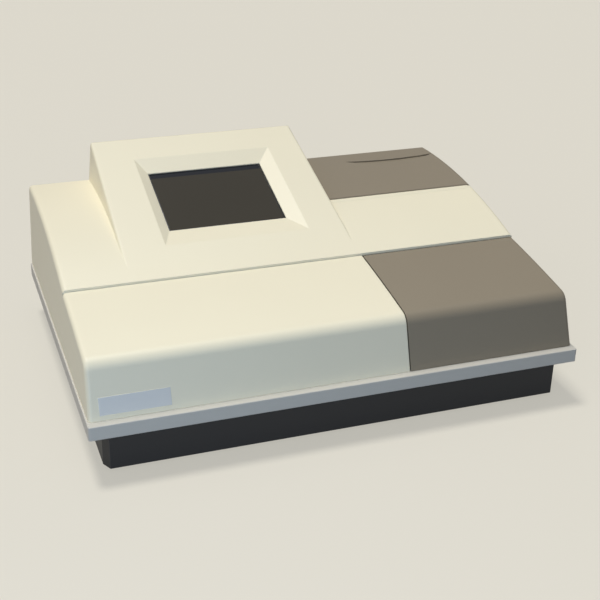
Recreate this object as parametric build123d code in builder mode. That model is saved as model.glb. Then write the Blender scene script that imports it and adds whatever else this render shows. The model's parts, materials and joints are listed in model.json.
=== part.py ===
from build123d import *
import os
from math import cos, radians, sin, tan

# Bench reader for 96-well plates. X is the width, Y the depth with the
# operator at -Y, Z is up. The origin is under the middle, on the bench.

# Overall envelope
body_width = 450.0
body_depth = 336.0
foot_height = 3.0
tray_height = 35.0
rim_height = 12.5
half_width = body_width / 2
half_depth = body_depth / 2
tray_bottom_z = foot_height
rim_bottom_z = tray_bottom_z + tray_height
ledge_z = rim_bottom_z + rim_height

# Moulded covers
wall = 3.0
ledge_front = 7.5
ledge_side = 1.6
side_draft = 2.46
front_lean = 18.6
front_corner_rise = 47.0
front_corner_radius = 12.0
deck_end_rise = 60.5
deck_crown = 0.8
seam_step = 2.0
seam_from_front = 128.5
arch_mid_from_seam = 103.5
arch_mid_rise = 83.0
arch_end_rise = 85.0
side_edge_radius = 4.0
cover_foot_y = -half_depth + ledge_front
cover_foot_x = half_width - ledge_side
seam_y = -half_depth + seam_from_front
deck_end_z = ledge_z + deck_end_rise
arch_start_z = deck_end_z + seam_step
arch_mid_y = seam_y + arch_mid_from_seam
arch_mid_z = ledge_z + arch_mid_rise
arch_end_z = ledge_z + arch_end_rise
below_ledge = 20.0

# Right-hand bay, bridge and rear compartment
bay_width = 164.5
bay_left_x = half_width - bay_width
cover_gap = 1.2
seam_gap = 1.2
ledge_gap = 0.2
bridge_depth = 92.0
bridge_rear_y = seam_y + bridge_depth
skirt_depth = 6.0
skirt_thickness = 2.0
skirt_back_off = 14.0
partition_x = bay_left_x - wall

# Screen housing
wedge_slope = 16.73
wedge_width = 223.0
apex_from_seam = 10.5
wedge_apex_z = 115.7
wedge_left_draft = 5.3
wedge_right_draft = 2.0
wedge_edge_radius = 2.5
bezel_width = 141.0
bezel_length = 136.7
bezel_shift_x = 3.5
bezel_shift_y = -0.55
bezel_depth = 5.0
window_width = 116.5
window_length = 91.5
window_offset_u = -2.25
window_offset_v = 3.2
wedge_apex_y = seam_y + apex_from_seam
wedge_right_x = bay_left_x
wedge_left_x = wedge_right_x - wedge_width
bezel_center_x = (wedge_left_x + wedge_right_x) / 2 + bezel_shift_x
bezel_center_y = (wedge_apex_y + half_depth) / 2 + bezel_shift_y

# Running and fitting clearances
rod_fit = 0.1
bore_fit = 0.1
slip_gap = 0.1
screw_clearance = 0.4
hole_clearance = 0.2

# Hinge rods of the two lids
rod_diameter = 4.0
hinge_setback = 6.5
lid_hinge_rise = 52.5
rear_hinge_rise = 74.1
knuckle_diameter = 9.0
knuckle_length = 10.0
swing_gap = 0.7
lid_hinge_y = seam_y - hinge_setback
lid_hinge_z = ledge_z + lid_hinge_rise
rear_hinge_y = bridge_rear_y + hinge_setback
rear_hinge_z = ledge_z + rear_hinge_rise
rod_hole = rod_diameter + rod_fit

# Chassis
sheet = 1.5
flange_thickness = 3.0
flange_width = 18.0
rim_side_band = 12.0
rim_front_band = 16.0
rim_rear_band = 10.0
chassis_z = rim_bottom_z + flange_thickness
floor_z = chassis_z + sheet
chassis_margin = 0.5
tray_side_inset = 13.0
tray_front_inset = 8.0
tray_rear_inset = 4.0
tray_wall = 3.0
tray_corner_x = 4.6
tray_corner_y = 9.0

# Plate, carrier and guides
plate_length = 127.76
plate_width = 85.48
nest_clearance = 0.3
nest_depth = 4.0
carrier_rise = 21.5
carrier_base = 3.0
carrier_from_right = 85.0
carrier_from_front = 72.0
carrier_band_x = 4.82
carrier_band_y = 6.71
window_margin = 4.0
rail_diameter = 8.0
rail_spacing = 124.0
rail_rise = 15.5
rail_from_front = 17.0
rail_past_bridge = 37.0
block_width = 14.0
block_length = 18.0
block_rise = 8.5
block_offset_y = 38.0
support_thickness = 6.0
support_half_width = 6.0
support_height = 20.9
carrier_z = floor_z + carrier_rise
carrier_center_x = half_width - carrier_from_right
carrier_load_y = -half_depth + carrier_from_front
rail_z = floor_z + rail_rise
rail_front_y = -half_depth + rail_from_front
rail_rear_y = bridge_rear_y + rail_past_bridge
block_bottom_z = floor_z + block_rise
support_top_z = floor_z + support_height

# Optics
read_from_seam = 41.5
channel_pitch = 9.0
channel_count = 12
head_rise = 41.5
head_height = 16.0
head_depth = 24.0
side_plate = 1.5
bay_right_margin = 14.0
finger_half = 3.4
detector_height = 13.9
detector_half_x = 52.0
detector_depth = 26.0
lens_diameter = 5.0
lens_depth = 3.0
lens_step = 0.5
beam_bore = 3.0
detector_bore = 3.5
diode_height = 4.0
optic_rise = 64.5
optic_from_center = 25.0
wheel_diameter = 48.0
wheel_thickness = 6.0
wheel_pitch_radius = 17.0
wheel_gap = 4.0
filter_count = 8
filter_diameter = 9.0
filter_fit = 0.02
stand_rise = 38.5
bracket_past_rails = 3.5
read_y = seam_y + read_from_seam
head_bottom_z = floor_z + head_rise
side_plate_right_x = half_width - bay_right_margin
side_plate_left_x = partition_x
optic_z = floor_z + optic_rise
optic_x = carrier_center_x + optic_from_center
wheel_x = optic_x - wheel_pitch_radius
bracket_y = rail_rear_y + bracket_past_rails
wheel_y = bracket_y + wheel_gap + wheel_thickness / 2
stand_top_z = floor_z + stand_rise

# Belt drive
belt_from_bay = 5.0
belt_width = 5.0
belt_thickness = 1.5
pulley_radius = 7.5
pulley_width = 6.0
drive_rise = 22.5
motor_past_rails = 35.5
idler_before_seam = 40.5
motor_size = 42.0
motor_length = 38.0
belt_x = bay_left_x + belt_from_bay
drive_z = floor_z + drive_rise
motor_y = rail_rear_y + motor_past_rails
idler_y = seam_y - idler_before_seam

# Rear panel
panel_from_left = 14.0
panel_from_bay = 43.5
panel_height = 77.5
panel_foot = 13.0
window_frame_x = 13.5
window_frame_low = 5.5
window_frame_high = 4.0
inlet_from_edge = 43.0
inlet_rise = 33.5
switch_from_inlet = 42.0
fan_from_switch = 51.0
fan_rise = 39.5
fan_size = 60.0
port_from_fan = 53.0
port_rise = 23.5
usb_above_port = 28.0
panel_rear_y = half_depth - wall
panel_front_y = panel_rear_y - sheet
panel_left_x = -half_width + panel_from_left
panel_right_x = bay_left_x - panel_from_bay
panel_top_z = ledge_z + panel_height
window_left_x = panel_left_x + window_frame_x
window_right_x = panel_right_x - window_frame_x
window_bottom_z = ledge_z + window_frame_low
window_top_z = panel_top_z - window_frame_high
inlet_x = panel_left_x + inlet_from_edge
inlet_z = ledge_z + inlet_rise
switch_x = inlet_x + switch_from_inlet
fan_x = switch_x + fan_from_switch
fan_z = ledge_z + fan_rise
port_x = fan_x + port_from_fan
port_z = ledge_z + port_rise
usb_z = port_z + usb_above_port

screw_diameter = 4.0


def slab(x0, x1, y0, y1, z0, z1, mode=Mode.ADD):
    """Box between two corners, in the current part."""
    with Locations(((x0 + x1) / 2, (y0 + y1) / 2, (z0 + z1) / 2)):
        Box(x1 - x0, y1 - y0, z1 - z0, mode=mode)


def rod_x(x0, x1, y, z, diameter, mode=Mode.ADD):
    """Cylinder along X between two places."""
    with Locations(Location(((x0 + x1) / 2, y, z), (0, 90, 0))):
        Cylinder(diameter / 2, x1 - x0, mode=mode)


def rod_y(x, y0, y1, z, diameter, mode=Mode.ADD):
    """Cylinder along Y between two places."""
    with Locations(Location((x, (y0 + y1) / 2, z), (90, 0, 0))):
        Cylinder(diameter / 2, y1 - y0, mode=mode)


def rod_z(x, y, z0, z1, diameter, mode=Mode.ADD):
    """Cylinder along Z between two heights."""
    with Locations((x, y, (z0 + z1) / 2)):
        Cylinder(diameter / 2, z1 - z0, mode=mode)


def frame_slab(x, y0, y1, z, half_x, half_z, mode=Mode.ADD):
    """Box along Y round a centre line."""
    slab(x - half_x, x + half_x, y0, y1, z - half_z, z + half_z, mode)


def save(builder, name):
    """Label one finished piece and write its file."""
    builder.part.label = name
    export_step(builder.part, f"parts/{name}.step")


os.makedirs("parts", exist_ok=True)


front_tan = tan(radians(front_lean))
side_tan = tan(radians(side_draft))
slope_tan = tan(radians(wedge_slope))
base_z = ledge_z - below_ledge
corner_z = ledge_z + front_corner_rise
corner_y = cover_foot_y + front_corner_rise * front_tan
roof_z = wedge_apex_z + (half_depth - wedge_apex_y) * slope_tan
far = body_width
overrun = 1.0


# Envelopes that the moulded covers share

def side_prism(inset):
    """What lies between the two drafted sides."""
    top_z = roof_z + wall
    low = cover_foot_x + below_ledge * side_tan - inset
    high = cover_foot_x - (top_z - ledge_z) * side_tan - inset
    with BuildPart() as prism:
        with BuildSketch(Plane.XZ.offset(-body_depth)):
            Polygon((-low, base_z), (low, base_z), (high, top_z), (-high, top_z), align=None)
        extrude(amount=2 * body_depth)
    return prism.part


def front_envelope(inset):
    """Low front of the cover up to the seam, every face moved in by the inset."""
    bottom = base_z - inset
    foot_y = cover_foot_y - (below_ledge + inset) * front_tan
    crown = ((corner_y + seam_y) / 2, (corner_z + deck_end_z) / 2 + deck_crown)
    end_y = seam_y + 2 * inset + overrun if inset else seam_y
    sides = side_prism(inset)
    with BuildPart() as shape:
        with BuildSketch(Plane.YZ) as profile:
            with BuildLine():
                Polyline((end_y, bottom), (foot_y, bottom), (corner_y, corner_z))
                ThreePointArc((corner_y, corner_z), crown, (seam_y, deck_end_z))
                if inset:
                    Line((seam_y, deck_end_z), (end_y, deck_end_z))
                Line((end_y, deck_end_z), (end_y, bottom))
            make_face()
            bend = profile.vertices().sort_by_distance(Vector(corner_y, corner_z, 0))[0]
            fillet(bend, front_corner_radius)
            if inset:
                offset(amount=-inset, kind=Kind.INTERSECTION, mode=Mode.REPLACE)
        extrude(amount=half_width, both=True)
        add(sides, mode=Mode.INTERSECT)
    return shape.part


def rear_envelope(inset):
    """Arched rear of the cover from the seam back."""
    bottom = base_z - inset
    sides = side_prism(inset)
    with BuildPart() as shape:
        with BuildSketch(Plane.YZ):
            with BuildLine():
                Polyline((half_depth, arch_end_z), (half_depth, bottom), (seam_y, bottom),
                         (seam_y, arch_start_z))
                ThreePointArc((seam_y, arch_start_z), (arch_mid_y, arch_mid_z),
                              (half_depth, arch_end_z))
            make_face()
            if inset:
                offset(amount=-inset, kind=Kind.INTERSECTION, mode=Mode.REPLACE)
        extrude(amount=half_width, both=True)
        add(sides, mode=Mode.INTERSECT)
    return shape.part


def wedge_envelope(inset):
    """Screen housing, a wedge that grows out of the arch."""
    root_z = wedge_apex_z - below_ledge
    left_top = wedge_left_x + (roof_z - root_z) * tan(radians(wedge_left_draft))
    right_top = wedge_right_x - (roof_z - root_z) * tan(radians(wedge_right_draft))
    with BuildPart() as shape:
        with BuildSketch(Plane.YZ):
            Polygon((wedge_apex_y, root_z), (half_depth, root_z), (half_depth, roof_z),
                    (wedge_apex_y, wedge_apex_z), align=None)
            if inset:
                offset(amount=-inset, kind=Kind.INTERSECTION, mode=Mode.REPLACE)
        extrude(amount=half_width, both=True)
        with BuildSketch(Plane.XZ.offset(-body_depth)):
            Polygon((wedge_left_x, root_z), (wedge_right_x, root_z), (right_top, roof_z),
                    (left_top, roof_z), align=None)
            if inset:
                offset(amount=-inset, kind=Kind.INTERSECTION, mode=Mode.REPLACE)
        extrude(amount=2 * body_depth, mode=Mode.INTERSECT)
        if not inset:
            ridges = shape.faces().sort_by(Axis.Z)[-1].edges().filter_by(Axis.X, reverse=True)
            fillet(ridges, wedge_edge_radius)
    return shape.part


def runs_up(edge):
    """Whether an edge of the envelope stands up, as its corners do."""
    direction = edge.tangent_at(0.5)
    return abs(direction.Y) < 0.05 and abs(direction.X) < 0.2


def rounded_sides(shape_part, radius):
    """Soften the two long upper edges at the sides."""
    with BuildPart() as rounded:
        add(shape_part)
        top = rounded.edges().filter_by(lambda e: abs(e.center().X) > cover_foot_x - wall * 2)
        top = top.filter_by(lambda e: e.center().Z > ledge_z + wall and not runs_up(e))
        fillet(top, radius)
    return rounded.part


def arch_at(y):
    """Height of the rear arch above the bench."""
    ax, ay = seam_y, arch_start_z
    bx, by = arch_mid_y, arch_mid_z
    cx, cy = half_depth, arch_end_z
    turn = 2 * (ax * (by - cy) + bx * (cy - ay) + cx * (ay - by))
    sa, sb, sc = ax * ax + ay * ay, bx * bx + by * by, cx * cx + cy * cy
    mx = (sa * (by - cy) + sb * (cy - ay) + sc * (ay - by)) / turn
    my = (sa * (cx - bx) + sb * (ax - cx) + sc * (bx - ax)) / turn
    radius = ((ax - mx) ** 2 + (ay - my) ** 2) ** 0.5
    return my + (radius ** 2 - (y - mx) ** 2) ** 0.5


front_outer = rounded_sides(front_envelope(0), side_edge_radius)
front_inner = front_envelope(wall)
rear_outer = rounded_sides(rear_envelope(0), side_edge_radius)
rear_inner = rear_envelope(wall)
wedge_outer = wedge_envelope(0)
wedge_inner = wedge_envelope(wall)

# Planes of the screen
lean = radians(wedge_slope)
bezel_center_z = wedge_apex_z + (bezel_center_y - wedge_apex_y) * slope_tan
screen_plane = Plane(origin=(bezel_center_x, bezel_center_y, bezel_center_z), x_dir=(1, 0, 0),
                     z_dir=(0, -sin(lean), cos(lean)))
display_plane = Plane(origin=screen_plane.origin + screen_plane.x_dir * window_offset_u
                      + screen_plane.y_dir * window_offset_v,
                      x_dir=(1, 0, 0), z_dir=(0, -sin(lean), cos(lean)))

# Base tray on its four feet

foot_diameter = 22.0
foot_plug_diameter = 8.0
foot_plug_rise = 1.0
foot_from_side = 30.0
foot_from_end = 30.0
boss_diameter = 12.0
base_head_diameter = 7.5
base_head_height = 2.6
counterbore_depth = 5.0
counterbore_clearance = 1.0
screw_from_side = 8.0
screw_from_front = 18.0
screw_from_rear = 16.0
tray_slot_length = 60.0
tray_slot_width = 4.0
tray_slot_pitch = 14.0
tray_slot_rows = 90.0
tray_slot_count = 9
tray_half_x = half_width - tray_side_inset
tray_front_y = -half_depth + tray_front_inset
tray_rear_y = half_depth - tray_rear_inset
tray_mid_y = (tray_front_y + tray_rear_y) / 2
tray_top_z = rim_bottom_z
screw_x = tray_half_x - screw_from_side
screw_ys = (tray_front_y + screw_from_front, tray_mid_y, tray_rear_y - screw_from_rear)
screw_places = [(side * screw_x, y) for side in (-1, 1) for y in screw_ys]
foot_x = tray_half_x - foot_from_side
foot_ys = (tray_front_y + foot_from_end, tray_rear_y - foot_from_end)
foot_places = [(side * foot_x, y) for side in (-1, 1) for y in foot_ys]
counterbore_z = tray_bottom_z + counterbore_depth
tray_outline = [
    (-tray_half_x, tray_rear_y),
    (-tray_half_x, tray_front_y + tray_corner_y),
    (-tray_half_x + tray_corner_x, tray_front_y),
    (tray_half_x - tray_corner_x, tray_front_y),
    (tray_half_x, tray_front_y + tray_corner_y),
    (tray_half_x, tray_rear_y),
]

with BuildPart() as base_tray:
    with BuildSketch(Plane.XY.offset(tray_bottom_z)):
        Polygon(*tray_outline, align=None)
    extrude(amount=tray_height)
    with BuildSketch(Plane.XY.offset(tray_bottom_z + tray_wall)):
        Polygon(*tray_outline, align=None)
        offset(amount=-tray_wall, kind=Kind.INTERSECTION, mode=Mode.REPLACE)
    extrude(amount=tray_height, mode=Mode.SUBTRACT)
    for x, y in screw_places:
        rod_z(x, y, tray_bottom_z, tray_top_z, boss_diameter)
        rod_z(x, y, tray_bottom_z, tray_top_z, screw_diameter + screw_clearance, Mode.SUBTRACT)
        rod_z(x, y, tray_bottom_z, counterbore_z, base_head_diameter + counterbore_clearance, Mode.SUBTRACT)
    for x, y in foot_places:
        rod_z(x, y, tray_bottom_z, tray_bottom_z + tray_wall, foot_plug_diameter + hole_clearance,
              Mode.SUBTRACT)
    with BuildSketch(Plane.XY.offset(tray_bottom_z)):
        with GridLocations(tray_slot_pitch, tray_slot_rows, tray_slot_count, 2):
            Rectangle(tray_slot_width, tray_slot_length)
    extrude(amount=tray_wall, mode=Mode.SUBTRACT)
save(base_tray, "base_tray")

with BuildPart() as rubber_feet:
    for x, y in foot_places:
        rod_z(x, y, 0, foot_height, foot_diameter)
        rod_z(x, y, foot_height, foot_height + tray_wall + foot_plug_rise, foot_plug_diameter)
save(rubber_feet, "rubber_feet")

with BuildPart() as base_screws:
    for x, y in screw_places:
        rod_z(x, y, counterbore_z - base_head_height, counterbore_z, base_head_diameter)
        rod_z(x, y, counterbore_z, floor_z, screw_diameter)
save(base_screws, "base_screws")

# Rim that carries the covers

rim_corner_radius = 2.0
rim_edge_radius = 0.8
rim_inner_x = half_width - rim_side_band
rim_front_y = -half_depth + rim_front_band
rim_rear_y = half_depth - rim_rear_band

with BuildPart() as rim_frame:
    with BuildSketch(Plane.XY.offset(rim_bottom_z)):
        RectangleRounded(body_width, body_depth, rim_corner_radius)
    extrude(amount=rim_height)
    fillet(rim_frame.edges().group_by(Axis.Z)[-1], rim_edge_radius)
    slab(-rim_inner_x, rim_inner_x, rim_front_y, rim_rear_y, chassis_z, ledge_z, Mode.SUBTRACT)
    slab(-rim_inner_x + flange_width, rim_inner_x - flange_width, rim_front_y + flange_width,
         rim_rear_y - flange_width, rim_bottom_z, chassis_z, Mode.SUBTRACT)
    for x, y in screw_places:
        rod_z(x, y, rim_bottom_z, chassis_z, screw_diameter + rod_fit, Mode.SUBTRACT)
save(rim_frame, "rim_frame")

with BuildPart() as chassis_plate:
    slab(-rim_inner_x + chassis_margin, rim_inner_x - chassis_margin, rim_front_y + chassis_margin,
         rim_rear_y - chassis_margin, chassis_z, floor_z)
    for x, y in screw_places:
        rod_z(x, y, chassis_z, floor_z, screw_diameter + rod_fit, Mode.SUBTRACT)
save(chassis_plate, "chassis_plate")

# Main cover with the screen housing

skin_front = 2.5
skin_rear = 1.0
side_wall_band = 8.0
rear_side_band = 6.5
bridge_cut_depth = 6.0
bridge_front_cut_rise = 29.5
bridge_rear_cut_rise = 39.5
rear_strip_gap = 0.6
rod_boss_length = 6.0
rod_past_partition = 6.0
rod_past_plate = 0.8
post_u = 77.0
post_v = 56.0
post_diameter = 8.0
post_overlap = 0.5
pilot_diameter = 3.0
pilot_depth = 8.0
panel_depth = 6.0
glass_thickness = 2.0
lcd_thickness = 8.0
pocket_margin = 8.0
bezel_floor = 1.0
bracket_depth = panel_depth + glass_thickness + lcd_thickness
vent_from_bay = 99.5
vent_rise = 35.5
vent_pitch = 8.0
vent_count = 10
vent_length = 40.0
vent_width = 3.0
screw_from_left = 5.5
screw_from_right = 6.0
screw_rises = (13.5, 65.5)
cover_screw_diameter = 3.0
cover_head_diameter = 5.5
cover_head_depth = 1.8
cover_head_below = 0.2
cover_screw_fit = 0.3
cover_screw_past = 2.0
swing_front = 9.6
swing_rear = 9.9
trim_front_z = deck_end_z + seam_step - skin_front
trim_rear_z = arch_at(bridge_rear_y) - skin_rear
rod_left_x = partition_x - rod_past_partition
rod_right_x = side_plate_right_x + side_plate + rod_past_plate
side_cut_x = cover_foot_x - side_wall_band
strip_top_z = arch_at(half_depth) - wall - rear_strip_gap
vent_x = bay_left_x + vent_from_bay
panel_screws = [(x, ledge_z + rise) for x in (panel_left_x + screw_from_left, panel_right_x - screw_from_right)
                for rise in screw_rises]

with BuildPart() as partitions:
    add(front_outer)
    add(rear_outer)
    add(wedge_outer)
    slab(partition_x, bay_left_x, -half_depth, half_depth, ledge_z, far, Mode.INTERSECT)
    slab(partition_x, bay_left_x, seam_y, bridge_rear_y, ledge_z, far, Mode.SUBTRACT)

with BuildPart() as main_cover:
    add(front_outer)
    add(rear_outer)
    add(wedge_outer)
    slab(-far, far, -far, far, 0, ledge_z, Mode.SUBTRACT)
    add(front_inner, mode=Mode.SUBTRACT)
    add(rear_inner, mode=Mode.SUBTRACT)
    add(wedge_inner, mode=Mode.SUBTRACT)
    slab(bay_left_x, far, -far, seam_y, 0, far, Mode.SUBTRACT)
    slab(bay_left_x, far, bridge_rear_y, panel_rear_y, 0, far, Mode.SUBTRACT)
    slab(bay_left_x, far, panel_rear_y, far, strip_top_z, far, Mode.SUBTRACT)
    slab(cover_foot_x - rear_side_band, far, bridge_rear_y, far, ledge_z, far, Mode.SUBTRACT)
    add(partitions.part)
    slab(bay_left_x, side_cut_x, seam_y, seam_y + bridge_cut_depth, ledge_z + bridge_front_cut_rise,
         trim_front_z, Mode.SUBTRACT)
    slab(bay_left_x, side_cut_x, bridge_rear_y - bridge_cut_depth, bridge_rear_y,
         ledge_z + bridge_rear_cut_rise, trim_rear_z, Mode.SUBTRACT)
    rod_x(side_cut_x, far, lid_hinge_y, lid_hinge_z, 2 * (swing_front + swing_gap), Mode.SUBTRACT)
    rod_x(side_cut_x, far, rear_hinge_y, rear_hinge_z, 2 * (swing_rear + swing_gap), Mode.SUBTRACT)
    with BuildSketch(screen_plane.offset(-panel_depth)):
        Rectangle(bezel_width + pocket_margin, bezel_length + pocket_margin)
    extrude(amount=panel_depth - overrun)
    with BuildSketch(screen_plane):
        Rectangle(bezel_width, bezel_length)
    with BuildSketch(screen_plane.offset(-bezel_depth)):
        with Locations((window_offset_u, window_offset_v)):
            Rectangle(window_width, window_length)
    loft(mode=Mode.SUBTRACT)
    with BuildSketch(display_plane):
        Rectangle(window_width, window_length)
    extrude(amount=-panel_depth - bezel_floor, mode=Mode.SUBTRACT)
    with BuildSketch(display_plane.offset(-bracket_depth)):
        with GridLocations(2 * post_u, 2 * post_v, 2, 2):
            Circle(post_diameter / 2)
    extrude(amount=bracket_depth - wall + post_overlap)
    with BuildSketch(display_plane.offset(-bracket_depth)):
        with GridLocations(2 * post_u, 2 * post_v, 2, 2):
            Circle(pilot_diameter / 2)
    extrude(amount=pilot_depth, mode=Mode.SUBTRACT)
    for y, z in ((lid_hinge_y, lid_hinge_z), (rear_hinge_y, rear_hinge_z)):
        rod_x(partition_x - rod_boss_length, partition_x, y, z, knuckle_diameter)
        rod_x(partition_x - rod_boss_length, bay_left_x, y, z, rod_hole, Mode.SUBTRACT)
    slab(window_left_x, window_right_x, panel_rear_y, half_depth, window_bottom_z, window_top_z,
         Mode.SUBTRACT)
    for x, z in panel_screws:
        rod_y(x, panel_rear_y, half_depth, z, cover_screw_diameter + cover_screw_fit, Mode.SUBTRACT)
        rod_y(x, half_depth - cover_head_depth, half_depth, z, cover_head_diameter + screw_clearance,
              Mode.SUBTRACT)
    with BuildSketch(Plane.XZ.offset(-half_depth)):
        with Locations((vent_x, ledge_z + vent_rise)):
            with GridLocations(vent_pitch, 1, vent_count, 1):
                Rectangle(vent_width, vent_length)
    extrude(amount=wall, mode=Mode.SUBTRACT)
save(main_cover, "main_cover")

# Front lid over the bay and rear cover over the lamp

lid_chamfer = 3.0
lip_chamfer = 1.5
knuckle_from_side = 1.0
knuckle_skin = 1.5
skirt_from_panel = 1.0
rear_skirt_offset = 1.0
recess_half_length = 51.0
recess_from_rear = 25.0
recess_front_bow = 15.5
recess_rear_bow = 5.0
recess_depth = 1.2
rear_overlap = 0.5
lid_left_x = bay_left_x + cover_gap
lid_rear_y = seam_y - seam_gap
cover_front_y = bridge_rear_y + seam_gap
lid_bottom_z = ledge_z + ledge_gap
knuckle_xs = (lid_left_x + knuckle_from_side, carrier_center_x - knuckle_length / 2,
              side_plate_right_x - knuckle_from_side - knuckle_length)

skirt_outer = front_envelope(0)
skirt_inner = front_envelope(wall + skirt_depth)
with BuildPart() as lid_skirt:
    add(skirt_outer)
    slab(lid_left_x, lid_left_x + skirt_thickness, -far, lid_rear_y - skirt_back_off, lid_bottom_z, far,
         Mode.INTERSECT)
    add(skirt_inner, mode=Mode.SUBTRACT)

with BuildPart() as front_lid:
    add(front_outer)
    add(front_inner, mode=Mode.SUBTRACT)
    add(lid_skirt.part)
    slab(lid_left_x, far, -far, lid_rear_y, lid_bottom_z, far, Mode.INTERSECT)
    for x in knuckle_xs:
        rod_x(x, x + knuckle_length, lid_hinge_y, lid_hinge_z, knuckle_diameter)
        slab(x, x + knuckle_length, lid_hinge_y - knuckle_diameter / 2, lid_hinge_y, lid_hinge_z,
             deck_end_z - wall)
        rod_x(x, x + knuckle_length, lid_hinge_y, lid_hinge_z, rod_hole, Mode.SUBTRACT)
    corner_place = (cover_foot_x - wall, lid_rear_y, lid_bottom_z)
    corner = front_lid.edges().filter_by(Axis.X).sort_by_distance(corner_place)[0]
    chamfer(corner, lid_chamfer)
save(front_lid, "front_lid")

rear_skirt_outer = rear_envelope(0)
rear_skirt_inner = rear_envelope(wall + skirt_depth)
rear_skirt_x = lid_left_x + rear_skirt_offset
with BuildPart() as cover_skirt:
    add(rear_skirt_outer)
    slab(rear_skirt_x, rear_skirt_x + skirt_thickness, cover_front_y + skirt_back_off,
         panel_rear_y - skirt_from_panel, rear_hinge_z, far, Mode.INTERSECT)
    add(rear_skirt_inner, mode=Mode.SUBTRACT)

recess_y = half_depth - recess_from_rear
recess_top_z = arch_at(recess_y) + overrun

with BuildPart() as rear_cover:
    add(rear_outer)
    add(rear_inner, mode=Mode.SUBTRACT)
    add(cover_skirt.part)
    slab(lid_left_x, far, cover_front_y, far, lid_bottom_z, far, Mode.INTERSECT)
    slab(lid_left_x, cover_foot_x - rear_side_band + rear_overlap, panel_rear_y - rear_overlap, far, 0,
         arch_at(half_depth) - wall, Mode.SUBTRACT)
    lip_place = (carrier_center_x, cover_front_y, arch_at(cover_front_y))
    lip = rear_cover.edges().filter_by(Axis.X).sort_by_distance(lip_place)[0]
    chamfer(lip, lip_chamfer)
    for x in knuckle_xs:
        rod_x(x, x + knuckle_length, rear_hinge_y, rear_hinge_z, knuckle_diameter)
        slab(x, x + knuckle_length, rear_hinge_y, rear_hinge_y + knuckle_diameter / 2, rear_hinge_z,
             arch_at(rear_hinge_y) - knuckle_skin)
        rod_x(x, x + knuckle_length, rear_hinge_y, rear_hinge_z, rod_hole, Mode.SUBTRACT)
    with BuildSketch(Plane.XY.offset(recess_top_z)):
        with BuildLine():
            left_tip = (optic_x - recess_half_length, recess_y)
            right_tip = (optic_x + recess_half_length, recess_y)
            ThreePointArc(left_tip, (optic_x, recess_y - recess_front_bow), right_tip)
            ThreePointArc(right_tip, (optic_x, recess_y - recess_rear_bow), left_tip)
        make_face()
    extrude(amount=-recess_depth - overrun, mode=Mode.SUBTRACT)
    corner_place = (cover_foot_x - wall, cover_front_y, lid_bottom_z)
    corner = rear_cover.edges().filter_by(Axis.X).sort_by_distance(corner_place)[0]
    chamfer(corner, lid_chamfer)
save(rear_cover, "rear_cover")

with BuildPart() as lid_hinge_rod:
    rod_x(rod_left_x, rod_right_x, lid_hinge_y, lid_hinge_z, rod_diameter)
save(lid_hinge_rod, "lid_hinge_rod")

with BuildPart() as cover_hinge_rod:
    rod_x(rod_left_x, rod_right_x, rear_hinge_y, rear_hinge_z, rod_diameter)
save(cover_hinge_rod, "cover_hinge_rod")

# Guides and carrier

rail_xs = (carrier_center_x - rail_spacing / 2, carrier_center_x + rail_spacing / 2)
support_ys = (rail_front_y, rail_rear_y - support_thickness)
nest_x = plate_length / 2 + nest_clearance
nest_y = plate_width / 2 + nest_clearance
carrier_half_x = nest_x + carrier_band_x
carrier_half_y = nest_y + carrier_band_y
nest_floor_z = carrier_z + carrier_base
carrier_top_z = nest_floor_z + nest_depth
light_x = nest_x - window_margin
light_y = nest_y - window_margin

with BuildPart() as guide_rods:
    for x in rail_xs:
        rod_y(x, rail_front_y, rail_rear_y, rail_z, rail_diameter)
save(guide_rods, "guide_rods")

with BuildPart() as rod_supports:
    for x in rail_xs:
        for y in support_ys:
            slab(x - support_half_width, x + support_half_width, y, y + support_thickness, floor_z,
                 support_top_z)
            rod_y(x, y, y + support_thickness, rail_z, rail_diameter + rod_fit, Mode.SUBTRACT)
save(rod_supports, "rod_supports")

carrier_corner_radius = 4.0
nest_corner_radius = 2.0
grasp_length = 60.0
grasp_width = 24.0
clamp_wall = 1.2
clamp_block = 3.0
clamp_half = 6.0
belt_slot = 0.2
finger_offset_x = 1.8
finger_offset_y = 26.0
pin_diameter = 2.4
pin_seat_depth = 1.0
pin_head_step = 2.0
pin_head_height = 1.2
finger_gap = 0.2
finger_thickness = 2.0
finger_length = 20.0
finger_width = 4.0
finger_nose_shift = 0.4
finger_nose_from_end = 6.0
block_xs = [(x - block_width / 2, x + block_width / 2) for x in rail_xs]
block_ys = [carrier_load_y + side * block_offset_y for side in (-1, 1)]
belt_left_x = belt_x - belt_width / 2
belt_right_x = belt_x + belt_width / 2
clamp_left_x = belt_left_x - clamp_wall
clamp_y0 = block_ys[1] - clamp_half
clamp_y1 = block_ys[1] + clamp_half
lower_run_z = drive_z - pulley_radius - belt_thickness
finger_x = carrier_center_x + nest_x + finger_offset_x
finger_y = carrier_load_y - finger_offset_y
finger_z = carrier_top_z + finger_gap
pin_head_z = finger_z + finger_thickness + finger_gap

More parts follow.
